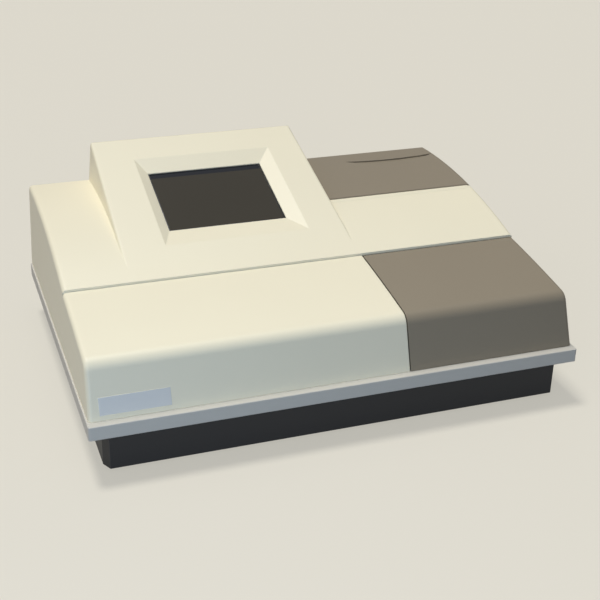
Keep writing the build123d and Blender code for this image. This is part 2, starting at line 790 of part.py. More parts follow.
with BuildPart() as plate_carrier:
    with BuildSketch(Plane.XY.offset(carrier_z)):
        with Locations((carrier_center_x, carrier_load_y)):
            RectangleRounded(2 * carrier_half_x, 2 * carrier_half_y, carrier_corner_radius)
            Rectangle(2 * light_x, 2 * light_y, mode=Mode.SUBTRACT)
    extrude(amount=carrier_base + nest_depth)
    with BuildSketch(Plane.XY.offset(nest_floor_z)):
        with Locations((carrier_center_x, carrier_load_y)):
            RectangleRounded(2 * nest_x, 2 * nest_y, nest_corner_radius)
    extrude(amount=nest_depth, mode=Mode.SUBTRACT)
    with BuildSketch(Plane.XY.offset(nest_floor_z)):
        with Locations((carrier_center_x, carrier_load_y - carrier_half_y),
                       (carrier_center_x, carrier_load_y + carrier_half_y)):
            SlotOverall(grasp_length, grasp_width)
    extrude(amount=nest_depth, mode=Mode.SUBTRACT)
    for x0, x1 in block_xs:
        for y in block_ys:
            slab(x0, x1, y - block_length / 2, y + block_length / 2, block_bottom_z, carrier_z)
    for x in rail_xs:
        rod_y(x, -far, far, rail_z, rail_diameter + rod_fit, Mode.SUBTRACT)
    slab(clamp_left_x, block_xs[0][0], clamp_y0, clamp_y1, lower_run_z - clamp_block,
         lower_run_z + belt_thickness + clamp_block)
    slab(belt_left_x - belt_slot, belt_right_x + belt_slot, clamp_y0, clamp_y1, lower_run_z - belt_slot,
         lower_run_z + belt_thickness + belt_slot, Mode.SUBTRACT)
    rod_z(finger_x, finger_y, nest_floor_z - pin_seat_depth, carrier_top_z, pin_diameter, Mode.SUBTRACT)
save(plate_carrier, "plate_carrier")

with BuildPart() as finger_pin:
    rod_z(finger_x, finger_y, nest_floor_z - pin_seat_depth, pin_head_z, pin_diameter)
    rod_z(finger_x, finger_y, pin_head_z, pin_head_z + pin_head_height, pin_diameter + pin_head_step)
save(finger_pin, "finger_pin")

with BuildPart() as plate_finger:
    with BuildSketch(Plane.XY.offset(finger_z)):
        with Locations((finger_x, finger_y + finger_length / 2 - finger_width / 2)):
            SlotOverall(finger_length, finger_width, rotation=90)
        with Locations((finger_x - finger_nose_shift, finger_y + finger_length - finger_nose_from_end)):
            Circle(finger_width / 2)
        with Locations((finger_x, finger_y)):
            Circle((pin_diameter + bore_fit) / 2, mode=Mode.SUBTRACT)
    extrude(amount=finger_thickness)
save(plate_finger, "plate_finger")

# Drip tray under the bay

drip_half_x = 52.0
drip_height = 7.0
drip_sheet = 1.5
drip_from_rim = 3.0
drip_before_read = 20.0
drip_y0 = rim_front_y + drip_from_rim
drip_y1 = read_y - drip_before_read

with BuildPart() as bay_tray:
    slab(carrier_center_x - drip_half_x, carrier_center_x + drip_half_x, drip_y0, drip_y1, floor_z,
         floor_z + drip_height)
    slab(carrier_center_x - drip_half_x + drip_sheet, carrier_center_x + drip_half_x - drip_sheet,
         drip_y0 + drip_sheet, drip_y1 - drip_sheet, floor_z + drip_sheet, floor_z + drip_height,
         Mode.SUBTRACT)
save(bay_tray, "bay_tray")

# Belt drive

shaft_diameter = 5.0
shaft_past_motor = 14.0
shaft_end_gap = 0.5
fork_gap = 0.3
fork_sheet = 1.0
fork_half_y = 6.0
fork_above_axle = 6.0
bracket_from_belt = 5.0
bracket_sheet = 2.0
bracket_margin = 1.5
pilot_boss_diameter = 22.0
pilot_boss_fit = 0.4
pilot_boss_step = 0.2
motor_corner = 4.0
pulley_flange = 2.2
pulley_fit = 0.04
bracket_left_x = belt_x + bracket_from_belt
motor_left_x = bracket_left_x + bracket_sheet
motor_half = motor_size / 2
flange_diameter = 2 * (pulley_radius + pulley_flange)
pulley_left_x = belt_x - pulley_width / 2
pulley_right_x = belt_x + pulley_width / 2
bracket_y0 = motor_y - motor_half - bracket_margin
bracket_y1 = motor_y + motor_half + bracket_margin

with BuildPart() as motor_bracket:
    slab(bracket_left_x, motor_left_x, bracket_y0, bracket_y1, floor_z, drive_z + motor_half)
    slab(bracket_left_x, motor_left_x + motor_length, bracket_y0, bracket_y1, floor_z,
         drive_z - motor_half - slip_gap)
    rod_x(bracket_left_x, motor_left_x, motor_y, drive_z, pilot_boss_diameter + pilot_boss_fit, Mode.SUBTRACT)
save(motor_bracket, "motor_bracket")

with BuildPart() as drive_motor:
    slab(motor_left_x, motor_left_x + motor_length, motor_y - motor_half, motor_y + motor_half,
         drive_z - motor_half, drive_z + motor_half)
    chamfer(drive_motor.edges().filter_by(Axis.X), motor_corner)
    rod_x(bracket_left_x + pilot_boss_step, motor_left_x, motor_y, drive_z, pilot_boss_diameter)
    rod_x(bracket_left_x, motor_left_x + shaft_past_motor, motor_y, drive_z, shaft_diameter + bore_fit,
          Mode.SUBTRACT)
save(drive_motor, "drive_motor")

with BuildPart() as drive_shaft:
    rod_x(pulley_left_x, motor_left_x + shaft_past_motor - shaft_end_gap, motor_y, drive_z, shaft_diameter)
save(drive_shaft, "drive_shaft")


def make_pulley(y, bore):
    """Flanged pulley that fills the belt's inner face."""
    with BuildPart() as pulley:
        rod_x(pulley_left_x, pulley_right_x, y, drive_z, 2 * pulley_radius - pulley_fit)
        rod_x(pulley_left_x, belt_left_x - slip_gap, y, drive_z, flange_diameter)
        rod_x(belt_right_x + slip_gap, pulley_right_x, y, drive_z, flange_diameter)
        rod_x(pulley_left_x, pulley_right_x, y, drive_z, bore, Mode.SUBTRACT)
    return pulley


drive_pulley = make_pulley(motor_y, shaft_diameter)
save(drive_pulley, "drive_pulley")
idler_pulley = make_pulley(idler_y, rod_diameter + bore_fit)
save(idler_pulley, "idler_pulley")

fork_left_x = pulley_left_x - fork_gap
fork_right_x = pulley_right_x + fork_gap

with BuildPart() as idler_bracket:
    for x in (fork_left_x - fork_sheet, fork_right_x):
        slab(x, x + fork_sheet, idler_y - fork_half_y, idler_y + fork_half_y, floor_z,
             drive_z + fork_above_axle)
    slab(fork_left_x, fork_right_x, idler_y - fork_half_y, idler_y + fork_half_y, floor_z,
         floor_z + fork_sheet)
    rod_x(fork_left_x - fork_sheet, fork_right_x + fork_sheet, idler_y, drive_z, rod_diameter)
save(idler_bracket, "idler_bracket")

with BuildPart() as drive_belt:
    with BuildSketch(Plane.YZ.offset(belt_left_x)):
        with Locations(((motor_y + idler_y) / 2, drive_z)):
            SlotCenterToCenter(motor_y - idler_y, 2 * (pulley_radius + belt_thickness))
            SlotCenterToCenter(motor_y - idler_y, 2 * pulley_radius, mode=Mode.SUBTRACT)
    extrude(amount=belt_width)
save(drive_belt, "drive_belt")

# Optics over and under the plate path

plate_from_seam = 4.0
plate_from_bridge = 3.0
plate_foot_left = 10.0
plate_foot_right = 4.0
head_chamfer = 4.0
rear_shoulder_drop = 30.0
rear_neck_drop = 20.0
rear_root_drop = 14.0
rear_root_from_edge = 12.0
front_shoulder_drop = 12.0
front_root_drop = 14.0
front_neck_drop = 24.0
front_foot_drop = 34.0
head_left_x = side_plate_left_x + side_plate
first_channel = carrier_center_x - (channel_count - 1) * channel_pitch / 2
channel_xs = [first_channel + i * channel_pitch for i in range(channel_count)]
head_y0 = read_y - head_depth / 2
head_top_z = head_bottom_z + head_height
plate_front_y = seam_y + plate_from_seam
plate_rear_y = bridge_rear_y - plate_from_bridge

with BuildPart() as side_plate_left:
    slab(side_plate_left_x, head_left_x, plate_front_y, plate_rear_y, floor_z, head_top_z)
    slab(side_plate_left_x - plate_foot_left, head_left_x, plate_front_y, plate_rear_y, floor_z,
         floor_z + side_plate)
save(side_plate_left, "side_plate_left")

with BuildPart() as side_plate_right:
    with BuildSketch(Plane.YZ.offset(side_plate_right_x)):
        Polygon((plate_front_y, floor_z), (plate_rear_y, floor_z),
                (plate_rear_y, rear_hinge_z - rear_shoulder_drop),
                (rear_hinge_y + finger_half, rear_hinge_z - rear_neck_drop),
                (rear_hinge_y + finger_half, rear_hinge_z), (rear_hinge_y - finger_half, rear_hinge_z),
                (rear_hinge_y - finger_half, rear_hinge_z - rear_root_drop),
                (plate_rear_y - rear_root_from_edge, head_top_z),
                (plate_front_y, head_top_z - front_shoulder_drop),
                (lid_hinge_y + finger_half, lid_hinge_z - front_root_drop),
                (lid_hinge_y + finger_half, lid_hinge_z), (lid_hinge_y - finger_half, lid_hinge_z),
                (lid_hinge_y - finger_half, lid_hinge_z - front_neck_drop),
                (plate_front_y, lid_hinge_z - front_foot_drop), align=None)
        with Locations((lid_hinge_y, lid_hinge_z), (rear_hinge_y, rear_hinge_z)):
            Circle(finger_half)
            Circle(rod_hole / 2, mode=Mode.SUBTRACT)
    extrude(amount=side_plate)
    slab(side_plate_right_x - plate_foot_right, side_plate_right_x, plate_front_y, plate_rear_y, floor_z,
         floor_z + side_plate)
save(side_plate_right, "side_plate_right")

with BuildPart() as optics_head:
    slab(head_left_x, side_plate_right_x, head_y0, head_y0 + head_depth, head_bottom_z, head_top_z)
    chamfer(optics_head.edges().filter_by(Axis.X).group_by(Axis.Z)[-1], head_chamfer)
    for x in channel_xs:
        rod_z(x, read_y, head_bottom_z, head_top_z, beam_bore, Mode.SUBTRACT)
        rod_z(x, read_y, head_bottom_z, head_bottom_z + lens_depth, lens_diameter + bore_fit, Mode.SUBTRACT)
save(optics_head, "optics_head")

with BuildPart() as head_lenses:
    for x in channel_xs:
        rod_z(x, read_y, head_bottom_z + lens_step, head_bottom_z + lens_depth, lens_diameter)
save(head_lenses, "head_lenses")

spacer_height = 2.0
spacer_diameter = 6.0
spacer_inset = 4.0
board_thickness = 1.6
detector_margin_x = 1.0
detector_margin_y = 2.0
detector_board_z = floor_z + spacer_height
detector_z = detector_board_z + board_thickness
detector_top_z = detector_z + detector_height
detector_left_x = carrier_center_x - detector_half_x
detector_right_x = carrier_center_x + detector_half_x
detector_y0 = read_y - detector_depth / 2
detector_y1 = read_y + detector_depth / 2

with BuildPart() as detector_board:
    slab(detector_left_x - detector_margin_x, detector_right_x + detector_margin_x,
         detector_y0 - detector_margin_y, detector_y1 + detector_margin_y, detector_board_z, detector_z)
save(detector_board, "detector_board")

with BuildPart() as detector_block:
    slab(detector_left_x, detector_right_x, detector_y0, detector_y1, detector_z, detector_top_z)
    for x in channel_xs:
        rod_z(x, read_y, detector_z, detector_top_z, detector_bore, Mode.SUBTRACT)
        rod_z(x, read_y, detector_z, detector_z + diode_height, lens_diameter + bore_fit, Mode.SUBTRACT)
save(detector_block, "detector_block")

with BuildPart() as photodiodes:
    for x in channel_xs:
        rod_z(x, read_y, detector_z, detector_z + diode_height, lens_diameter)
save(photodiodes, "photodiodes")

# Lamp, filter wheel and fibre bundle

stand_left = 47.0
stand_right = 39.0
stand_length = 63.0
stand_sheet = 2.0
filter_bracket_sheet = 2.0
filter_bracket_left = 39.0
filter_bracket_right = 19.0
filter_bracket_above = 20.0
filter_bracket_below = 22.0
filter_foot_length = 2.5
filter_foot_sheet = 1.5
shaft_hole = 6.0
ferrule_diameter = 11.0
ferrule_before = 13.0
ferrule_after = 2.0
fibre_diameter = 2.0
fibre_step = 2.4
fibre_sides = 6
fibre_rows = 3
fibre_seat = 6.0
fibre_rise = 13.0
fibre_bend_radius = 7.0
fibre_mid_from_read = 50.0
fibre_into_ferrule = 2.0
wheel_motor_diameter = 20.0
wheel_motor_length = 18.0
wheel_motor_bore = 6.0
wheel_shaft_diameter = 3.0
wheel_shaft_in_motor = 5.5
wheel_shaft_past_wheel = 1.0
wheel_notch = 2.0
lamp_from_bracket = 17.0
lamp_length = 40.0
lamp_half = 18.0
lamp_wall = 3.0
lamp_height = 44.0
lamp_lens_diameter = 14.0
lamp_lens_fit = 0.1
socket_step = 2.0
socket_flange_step = 6.0
socket_flange = 5.0
socket_nose_diameter = 10.0
bulb_diameter = 9.0
bulb_length = 15.0
bulb_from_lamp = 14.0
bulb_chamfer = 2.5
fin_pitch = 6.0
fin_count = 6
fin_thickness = 1.6
fin_height = 4.0
stand_left_x = optic_x - stand_left
stand_right_x = optic_x + stand_right
stand_rear_y = bracket_y + stand_length
bracket_front_y = bracket_y - filter_bracket_sheet
filter_left_x = optic_x - filter_bracket_left
filter_right_x = optic_x + filter_bracket_right
ferrule_front_y = bracket_y - ferrule_before
fibre_turn_z = head_top_z + fibre_rise
fibre_start_z = head_top_z - fibre_seat
fibre_mid_y = read_y + fibre_mid_from_read
lamp_front_y = bracket_y + lamp_from_bracket
lamp_rear_y = lamp_front_y + lamp_length
lamp_top_z = stand_top_z + lamp_height
bulb_front_y = lamp_front_y + bulb_from_lamp
bulb_rear_y = bulb_front_y + bulb_length

with BuildPart() as lamp_stand:
    slab(stand_left_x, stand_right_x, bracket_y, stand_rear_y, floor_z, stand_top_z)
    slab(stand_left_x + stand_sheet, stand_right_x - stand_sheet, bracket_y, stand_rear_y, floor_z,
         stand_top_z - stand_sheet, Mode.SUBTRACT)
save(lamp_stand, "lamp_stand")

with BuildPart() as filter_bracket:
    slab(filter_left_x, filter_right_x, bracket_front_y, bracket_y, stand_top_z - filter_bracket_below,
         optic_z + filter_bracket_above)
    slab(filter_left_x, filter_right_x, bracket_y, bracket_y + filter_foot_length, stand_top_z,
         stand_top_z + filter_foot_sheet)
    rod_y(optic_x, bracket_front_y, bracket_y, optic_z, ferrule_diameter + bore_fit, Mode.SUBTRACT)
    rod_y(wheel_x, bracket_front_y, bracket_y, optic_z, shaft_hole, Mode.SUBTRACT)
save(filter_bracket, "filter_bracket")

with BuildPart() as fibre_bundle:
    rod_y(optic_x, ferrule_front_y, bracket_y + ferrule_after, optic_z, ferrule_diameter)
    for i in range(channel_count):
        start_x = channel_xs[i]
        end_x = optic_x + (i // fibre_rows - (fibre_rows / 2)) * fibre_step
        end_z = optic_z + (i % fibre_rows - 1) * fibre_step
        with BuildLine() as fibre_path:
            FilletPolyline((start_x, read_y, fibre_start_z), (start_x, read_y, fibre_turn_z),
                           (end_x, fibre_mid_y, end_z), (end_x, ferrule_front_y + fibre_into_ferrule, end_z),
                           radius=fibre_bend_radius)
        with BuildSketch(Plane.XY.offset(fibre_start_z)):
            with Locations((start_x, read_y)):
                RegularPolygon(fibre_diameter / 2, fibre_sides)
        sweep(path=fibre_path.line)
save(fibre_bundle, "fibre_bundle")

with BuildPart() as wheel_motor:
    rod_y(wheel_x, bracket_front_y - wheel_motor_length, bracket_front_y, optic_z, wheel_motor_diameter)
    rod_y(wheel_x, bracket_front_y - wheel_motor_bore, bracket_front_y, optic_z,
          wheel_shaft_diameter + bore_fit, Mode.SUBTRACT)
save(wheel_motor, "wheel_motor")

with BuildPart() as wheel_shaft:
    rod_y(wheel_x, bracket_front_y - wheel_shaft_in_motor,
          wheel_y + wheel_thickness / 2 + wheel_shaft_past_wheel, optic_z, wheel_shaft_diameter)
save(wheel_shaft, "wheel_shaft")

with BuildPart() as filter_wheel:
    with BuildSketch(Plane.XZ.offset(-wheel_y - wheel_thickness / 2)):
        with Locations((wheel_x, optic_z)):
            Circle(wheel_diameter / 2)
            Circle(wheel_shaft_diameter / 2, mode=Mode.SUBTRACT)
            with PolarLocations(wheel_pitch_radius, filter_count):
                Circle(filter_diameter / 2, mode=Mode.SUBTRACT)
        with Locations((wheel_x, optic_z + wheel_diameter / 2)):
            Rectangle(wheel_notch, 2 * wheel_notch, mode=Mode.SUBTRACT)
    extrude(amount=wheel_thickness)
save(filter_wheel, "filter_wheel")

with BuildPart() as light_filters:
    with BuildSketch(Plane.XZ.offset(-wheel_y - wheel_thickness / 4)):
        with Locations((wheel_x, optic_z)):
            with PolarLocations(wheel_pitch_radius, filter_count):
                Circle(filter_diameter / 2 - filter_fit)
    extrude(amount=wheel_thickness / 2)
save(light_filters, "light_filters")

with BuildPart() as lamp_house:
    slab(optic_x - lamp_half, optic_x + lamp_half, lamp_front_y, lamp_rear_y, stand_top_z, lamp_top_z)
    slab(optic_x - lamp_half + lamp_wall, optic_x + lamp_half - lamp_wall, lamp_front_y + lamp_wall,
         lamp_rear_y - lamp_wall, stand_top_z + lamp_wall, lamp_top_z - lamp_wall, Mode.SUBTRACT)
    rod_y(optic_x, lamp_front_y, lamp_front_y + lamp_wall, optic_z, lamp_lens_diameter, Mode.SUBTRACT)
    rod_y(optic_x, lamp_rear_y - lamp_wall, lamp_rear_y, optic_z, lamp_lens_diameter + socket_step,
          Mode.SUBTRACT)
    with BuildSketch(Plane.XY.offset(lamp_top_z)):
        with Locations((optic_x, (lamp_front_y + lamp_rear_y) / 2)):
            with GridLocations(fin_pitch, 1, fin_count, 1):
                Rectangle(fin_thickness, lamp_length)
    extrude(amount=fin_height)
save(lamp_house, "lamp_house")

with BuildPart() as condenser_lens:
    rod_y(optic_x, lamp_front_y, lamp_front_y + lamp_wall, optic_z, lamp_lens_diameter - lamp_lens_fit)
save(condenser_lens, "condenser_lens")

with BuildPart() as lamp_socket:
    rod_y(optic_x, lamp_rear_y - lamp_wall, lamp_rear_y, optic_z,
          lamp_lens_diameter + socket_step - lamp_lens_fit)
    rod_y(optic_x, lamp_rear_y, lamp_rear_y + socket_flange, optic_z, lamp_lens_diameter + socket_flange_step)
    rod_y(optic_x, bulb_rear_y, lamp_rear_y - lamp_wall, optic_z, socket_nose_diameter)
save(lamp_socket, "lamp_socket")

with BuildPart() as lamp_bulb:
    rod_y(optic_x, bulb_front_y, bulb_rear_y, optic_z, bulb_diameter)
    chamfer(lamp_bulb.edges().group_by(Axis.Y)[0], bulb_chamfer)
save(lamp_bulb, "lamp_bulb")

# Screen

glass_margin = 10.0
module_margin_u = 18.0
module_margin_v = 12.0
bracket_overhang = 12.0
bracket_hole_radius = 1.6
connector_u = 34.0
connector_width = 30.0
connector_length = 40.0
display_head_radius = 2.8
display_head_height = 1.8
display_shank_radius = 1.45
display_shank_length = 8.0

with BuildPart() as touch_panel:
    with BuildSketch(display_plane.offset(-panel_depth)):
        Rectangle(window_width + glass_margin, window_length + glass_margin)
    extrude(amount=-glass_thickness)
save(touch_panel, "touch_panel")

with BuildPart() as lcd_module:
    with BuildSketch(display_plane.offset(-panel_depth - glass_thickness)):
        Rectangle(window_width + module_margin_u, window_length + module_margin_v)
    extrude(amount=-lcd_thickness)
save(lcd_module, "lcd_module")

with BuildPart() as display_bracket:
    with BuildSketch(display_plane.offset(-bracket_depth)):
        Rectangle(2 * post_u + bracket_overhang, 2 * post_v + bracket_overhang)
        with GridLocations(2 * post_u, 2 * post_v, 2, 2):
            Circle(bracket_hole_radius, mode=Mode.SUBTRACT)
        with Locations((connector_u, 0)):
            Rectangle(connector_width, connector_length, mode=Mode.SUBTRACT)
    extrude(amount=-sheet)
save(display_bracket, "display_bracket")

with BuildPart() as display_screws:
    with BuildSketch(display_plane.offset(-bracket_depth - sheet)):
        with GridLocations(2 * post_u, 2 * post_v, 2, 2):
            Circle(display_head_radius)
    extrude(amount=-display_head_height)
    with BuildSketch(display_plane.offset(-bracket_depth - sheet)):
        with GridLocations(2 * post_u, 2 * post_v, 2, 2):
            Circle(display_shank_radius)
    extrude(amount=display_shank_length)
save(display_screws, "display_screws")

# Electronics on the chassis

board_width = 140.0
board_length = 220.0
board_from_bay = 15.5
board_from_panel = 65.0
standoff_height = 10.0
standoff_radius = 3.5
standoff_inset = 6.0
supply_width = 90.0
supply_length = 155.0
supply_height = 40.0
supply_from_left = 25.0
supply_from_panel = 40.0
supply_slot_pitch = 9.0
supply_slot_count = 12
supply_slot_length = 60.0
supply_slot_width = 3.5
supply_slot_depth = 2.0
board_x1 = bay_left_x - board_from_bay
board_x0 = board_x1 - board_width
board_y1 = panel_rear_y - board_from_panel
board_y0 = board_y1 - board_length
board_mid_x = (board_x0 + board_x1) / 2
board_mid_y = (board_y0 + board_y1) / 2
board_z = floor_z + standoff_height
board_top_z = board_z + board_thickness
standoff_xs = (board_x0 + standoff_inset, board_x1 - standoff_inset)
standoff_ys = (board_y0 + standoff_inset, board_mid_y, board_y1 - standoff_inset)
standoff_places = [(x, y) for x in standoff_xs for y in standoff_ys]
spacer_xs = (detector_left_x + spacer_inset, detector_right_x - spacer_inset)
spacer_ys = (detector_y0 + spacer_inset, detector_y1 - spacer_inset)
spacer_places = [(x, y) for x in spacer_xs for y in spacer_ys]
supply_x0 = -half_width + supply_from_left
supply_x1 = supply_x0 + supply_width
supply_y1 = panel_rear_y - supply_from_panel
supply_y0 = supply_y1 - supply_length

# Each component has its place from the middle of the board, then length, width and height
processor = (-25.0, 30.0, 28.0, 28.0, 3.0)
memory = (25.0, 30.0, 24.0, 14.0, 3.0)
program_store = (25.0, 60.0, 24.0, 14.0, 3.0)
motor_driver = (-25.0, -30.0, 20.0, 20.0, 3.0)
regulator_sink = (35.0, -50.0, 34.0, 30.0, 9.0)
converter = (-35.0, -80.0, 30.0, 20.0, 12.0)
rear_header = (-25.0, 88.0, 60.0, 9.0, 9.0)
front_header = (45.0, -94.0, 40.0, 8.0, 9.0)
components = (processor, memory, program_store, motor_driver, regulator_sink, converter, rear_header,
              front_header)

with BuildPart() as board_standoffs:
    for x, y in standoff_places:
        with BuildSketch(Plane.XY.offset(floor_z)):
            with Locations((x, y)):
                RegularPolygon(standoff_radius, 6)
        extrude(amount=standoff_height)
    for x, y in spacer_places:
        rod_z(x, y, floor_z, detector_board_z, spacer_diameter)
save(board_standoffs, "board_standoffs")

with BuildPart() as main_board:
    slab(board_x0, board_x1, board_y0, board_y1, board_z, board_top_z)
save(main_board, "main_board")

with BuildPart() as board_components:
    for across, along, length, width, height in components:
        x = board_mid_x + across
        y = board_mid_y + along
        slab(x - length / 2, x + length / 2, y - width / 2, y + width / 2, board_top_z, board_top_z + height)
save(board_components, "board_components")

with BuildPart() as power_supply:
    slab(supply_x0, supply_x1, supply_y0, supply_y1, floor_z, floor_z + supply_height)
    with BuildSketch(Plane.XY.offset(floor_z + supply_height)):
        with Locations(((supply_x0 + supply_x1) / 2, (supply_y0 + supply_y1) / 2)):
            with GridLocations(1, supply_slot_pitch, 1, supply_slot_count):
                Rectangle(supply_slot_length, supply_slot_width)
    extrude(amount=-supply_slot_depth, mode=Mode.SUBTRACT)
save(power_supply, "power_supply")

# Rear panel and what it carries

inlet_half_x = 13.8
inlet_half_z = 10.2
inlet_flange_x = 25.0
inlet_flange_z = 11.5
inlet_flange = 2.0
inlet_corner = 4.0
inlet_body_depth = 20.0
socket_half_x = 12.0
socket_half_z = 8.2
socket_depth = 15.0
blade_half_x = 1.0
blade_half_z = 2.0
blade_pitch = 7.0
outer_blade_drop = 1.5
middle_blade_rise = 2.5
blade_end = 2.0
switch_half_x = 6.6
switch_half_z = 9.6
fan_bore = 54.0
port_half_x = 8.5
port_half_z = 4.4
usb_half_x = 6.5
usb_half_z = 6.0

with BuildPart() as rear_panel:
    slab(panel_left_x, panel_right_x, panel_front_y, panel_rear_y, ledge_z, panel_top_z)
    slab(panel_left_x, panel_right_x, panel_front_y - panel_foot, panel_front_y, ledge_z, ledge_z + sheet)
    frame_slab(inlet_x, panel_front_y, panel_rear_y, inlet_z, inlet_half_x, inlet_half_z, Mode.SUBTRACT)
    frame_slab(switch_x, panel_front_y, panel_rear_y, inlet_z, switch_half_x, switch_half_z, Mode.SUBTRACT)
    rod_y(fan_x, panel_front_y, panel_rear_y, fan_z, fan_bore, Mode.SUBTRACT)
    frame_slab(port_x, panel_front_y, panel_rear_y, port_z, port_half_x, port_half_z, Mode.SUBTRACT)
    frame_slab(port_x, panel_front_y, panel_rear_y, usb_z, usb_half_x, usb_half_z, Mode.SUBTRACT)
    for x, z in panel_screws:
        rod_y(x, panel_front_y, panel_rear_y, z, cover_screw_diameter + rod_fit, Mode.SUBTRACT)
save(rear_panel, "rear_panel")

with BuildPart() as cover_screws:
    for x, z in panel_screws:
        rod_y(x, half_depth - cover_head_depth, half_depth - cover_head_below, z, cover_head_diameter)
        rod_y(x, panel_front_y - cover_screw_past, half_depth - cover_head_depth, z, cover_screw_diameter)
save(cover_screws, "cover_screws")

with BuildPart() as power_inlet:
    frame_slab(inlet_x, panel_rear_y, panel_rear_y + inlet_flange, inlet_z, inlet_flange_x, inlet_flange_z)
    fillet(power_inlet.edges().filter_by(Axis.Y), inlet_corner)
    frame_slab(inlet_x, panel_front_y - inlet_body_depth, panel_rear_y, inlet_z, inlet_half_x - slip_gap,
               inlet_half_z - slip_gap)
    frame_slab(inlet_x, panel_front_y - socket_depth, panel_rear_y + inlet_flange, inlet_z, socket_half_x,
               socket_half_z, Mode.SUBTRACT)
save(power_inlet, "power_inlet")

with BuildPart() as inlet_blades:
    for across, rise in ((-blade_pitch, -outer_blade_drop), (0, middle_blade_rise),
                         (blade_pitch, -outer_blade_drop)):
        frame_slab(inlet_x + across, panel_front_y - socket_depth, panel_rear_y - blade_end, inlet_z + rise,
                   blade_half_x, blade_half_z)
save(inlet_blades, "inlet_blades")

rocker_tilt = 12.0
rocker_half_x = 4.6
rocker_half_z = 7.6
rocker_pivot_depth = 3.0
rocker_back = 2.0
rocker_back_half = 4.0
rocker_front = 3.6
rocker_dip = 3.2
rocker_end_inset = 0.5
rocker_gap_x = 0.4
rocker_gap_z = 0.7
trunnion_diameter = 2.0
trunnion_half_x = 5.8
switch_flange = 1.4
switch_body_depth = 14.0
switch_pocket_depth = 8.0
rocker_pivot_y = panel_rear_y - rocker_pivot_depth
rocker_back_y = rocker_pivot_y - rocker_back
rocker_front_y = rocker_pivot_y + rocker_front

with BuildPart() as switch_frame:
    frame_slab(switch_x, panel_rear_y, panel_rear_y + switch_flange, inlet_z, switch_half_x + switch_flange,
               switch_half_z + switch_flange)
    frame_slab(switch_x, panel_front_y - switch_body_depth, panel_rear_y, inlet_z, switch_half_x - slip_gap,
               switch_half_z - slip_gap)
    frame_slab(switch_x, panel_rear_y - switch_pocket_depth, panel_rear_y + switch_flange, inlet_z,
               rocker_half_x + rocker_gap_x, rocker_half_z + rocker_gap_z, Mode.SUBTRACT)
    rod_x(switch_x - trunnion_half_x - slip_gap, switch_x + trunnion_half_x + slip_gap, rocker_pivot_y, inlet_z,
          trunnion_diameter + rod_fit, Mode.SUBTRACT)
save(switch_frame, "switch_frame")

with BuildPart() as rocker:
    with BuildSketch(Plane.YZ.offset(switch_x - rocker_half_x)):
        Polygon((rocker_back_y, inlet_z - rocker_back_half),
                (rocker_front_y, inlet_z - rocker_half_z + rocker_end_inset),
                (rocker_pivot_y + rocker_dip, inlet_z),
                (rocker_front_y, inlet_z + rocker_half_z - rocker_end_inset),
                (rocker_back_y, inlet_z + rocker_back_half), align=None)
    extrude(amount=2 * rocker_half_x)
    rod_x(switch_x - trunnion_half_x, switch_x + trunnion_half_x, rocker_pivot_y, inlet_z, trunnion_diameter)
rocker_turned = rocker.part.rotate(Axis((switch_x, rocker_pivot_y, inlet_z), (1, 0, 0)), rocker_tilt)
with BuildPart() as power_rocker:
    add(rocker_turned)
save(power_rocker, "power_rocker")

fan_thickness = 15.0
fan_corner = 4.0
fan_rim = 1.5
fan_back = 2.0
fan_hub_diameter = 24.0
fan_spoke_place = 20.0
fan_spoke_length = 22.0
fan_spoke_width = 3.0
fan_shaft_diameter = 3.0
fan_hub_gap = 0.5
fan_front_gap = 1.0
fan_shaft_in_hub = 1.0
blade_count = 7
blade_place = 19.0
blade_length = 16.0
blade_thickness = 1.6
blade_depth = 9.0
blade_from_back = 3.0
blade_turn = 22.0
guard_radii = (10.0, 18.0, 26.0)
guard_wire = 1.4
guard_span = 58.0
fan_back_y = panel_front_y - fan_thickness
fan_hub_y = fan_back_y + fan_back + fan_hub_gap
blade_back_y = fan_back_y + blade_from_back

with BuildPart() as fan_frame:
    frame_slab(fan_x, fan_back_y, panel_front_y, fan_z, fan_size / 2, fan_size / 2)
    fillet(fan_frame.edges().filter_by(Axis.Y), fan_corner)
    rod_y(fan_x, fan_back_y, panel_front_y, fan_z, fan_size - 2 * fan_rim, Mode.SUBTRACT)
    rod_y(fan_x, fan_back_y, fan_back_y + fan_back, fan_z, fan_hub_diameter)
    with BuildSketch(Plane.XZ.offset(-fan_back_y)):
        with Locations((fan_x, fan_z)):
            with PolarLocations(fan_spoke_place, 4):
                Rectangle(fan_spoke_length, fan_spoke_width)
    extrude(amount=-fan_back)
    rod_y(fan_x, fan_back_y, fan_back_y + fan_back, fan_z, fan_shaft_diameter + rod_fit, Mode.SUBTRACT)
save(fan_frame, "fan_frame")

with BuildPart() as fan_rotor:
    rod_y(fan_x, fan_hub_y, panel_front_y - fan_front_gap, fan_z, fan_hub_diameter)
    rod_y(fan_x, fan_back_y, fan_hub_y + fan_shaft_in_hub, fan_z, fan_shaft_diameter)
    for i in range(blade_count):
        turn = 360 * i / blade_count
        with BuildSketch(Plane.XZ.offset(-blade_back_y)):
            with Locations(Location((fan_x, fan_z), turn)):
                with Locations((blade_place, 0)):
                    Rectangle(blade_length, blade_thickness)
        with BuildSketch(Plane.XZ.offset(-blade_back_y - blade_depth)):
            with Locations(Location((fan_x, fan_z), turn + blade_turn)):
                with Locations((blade_place, 0)):
                    Rectangle(blade_length, blade_thickness)
        loft()
save(fan_rotor, "fan_rotor")

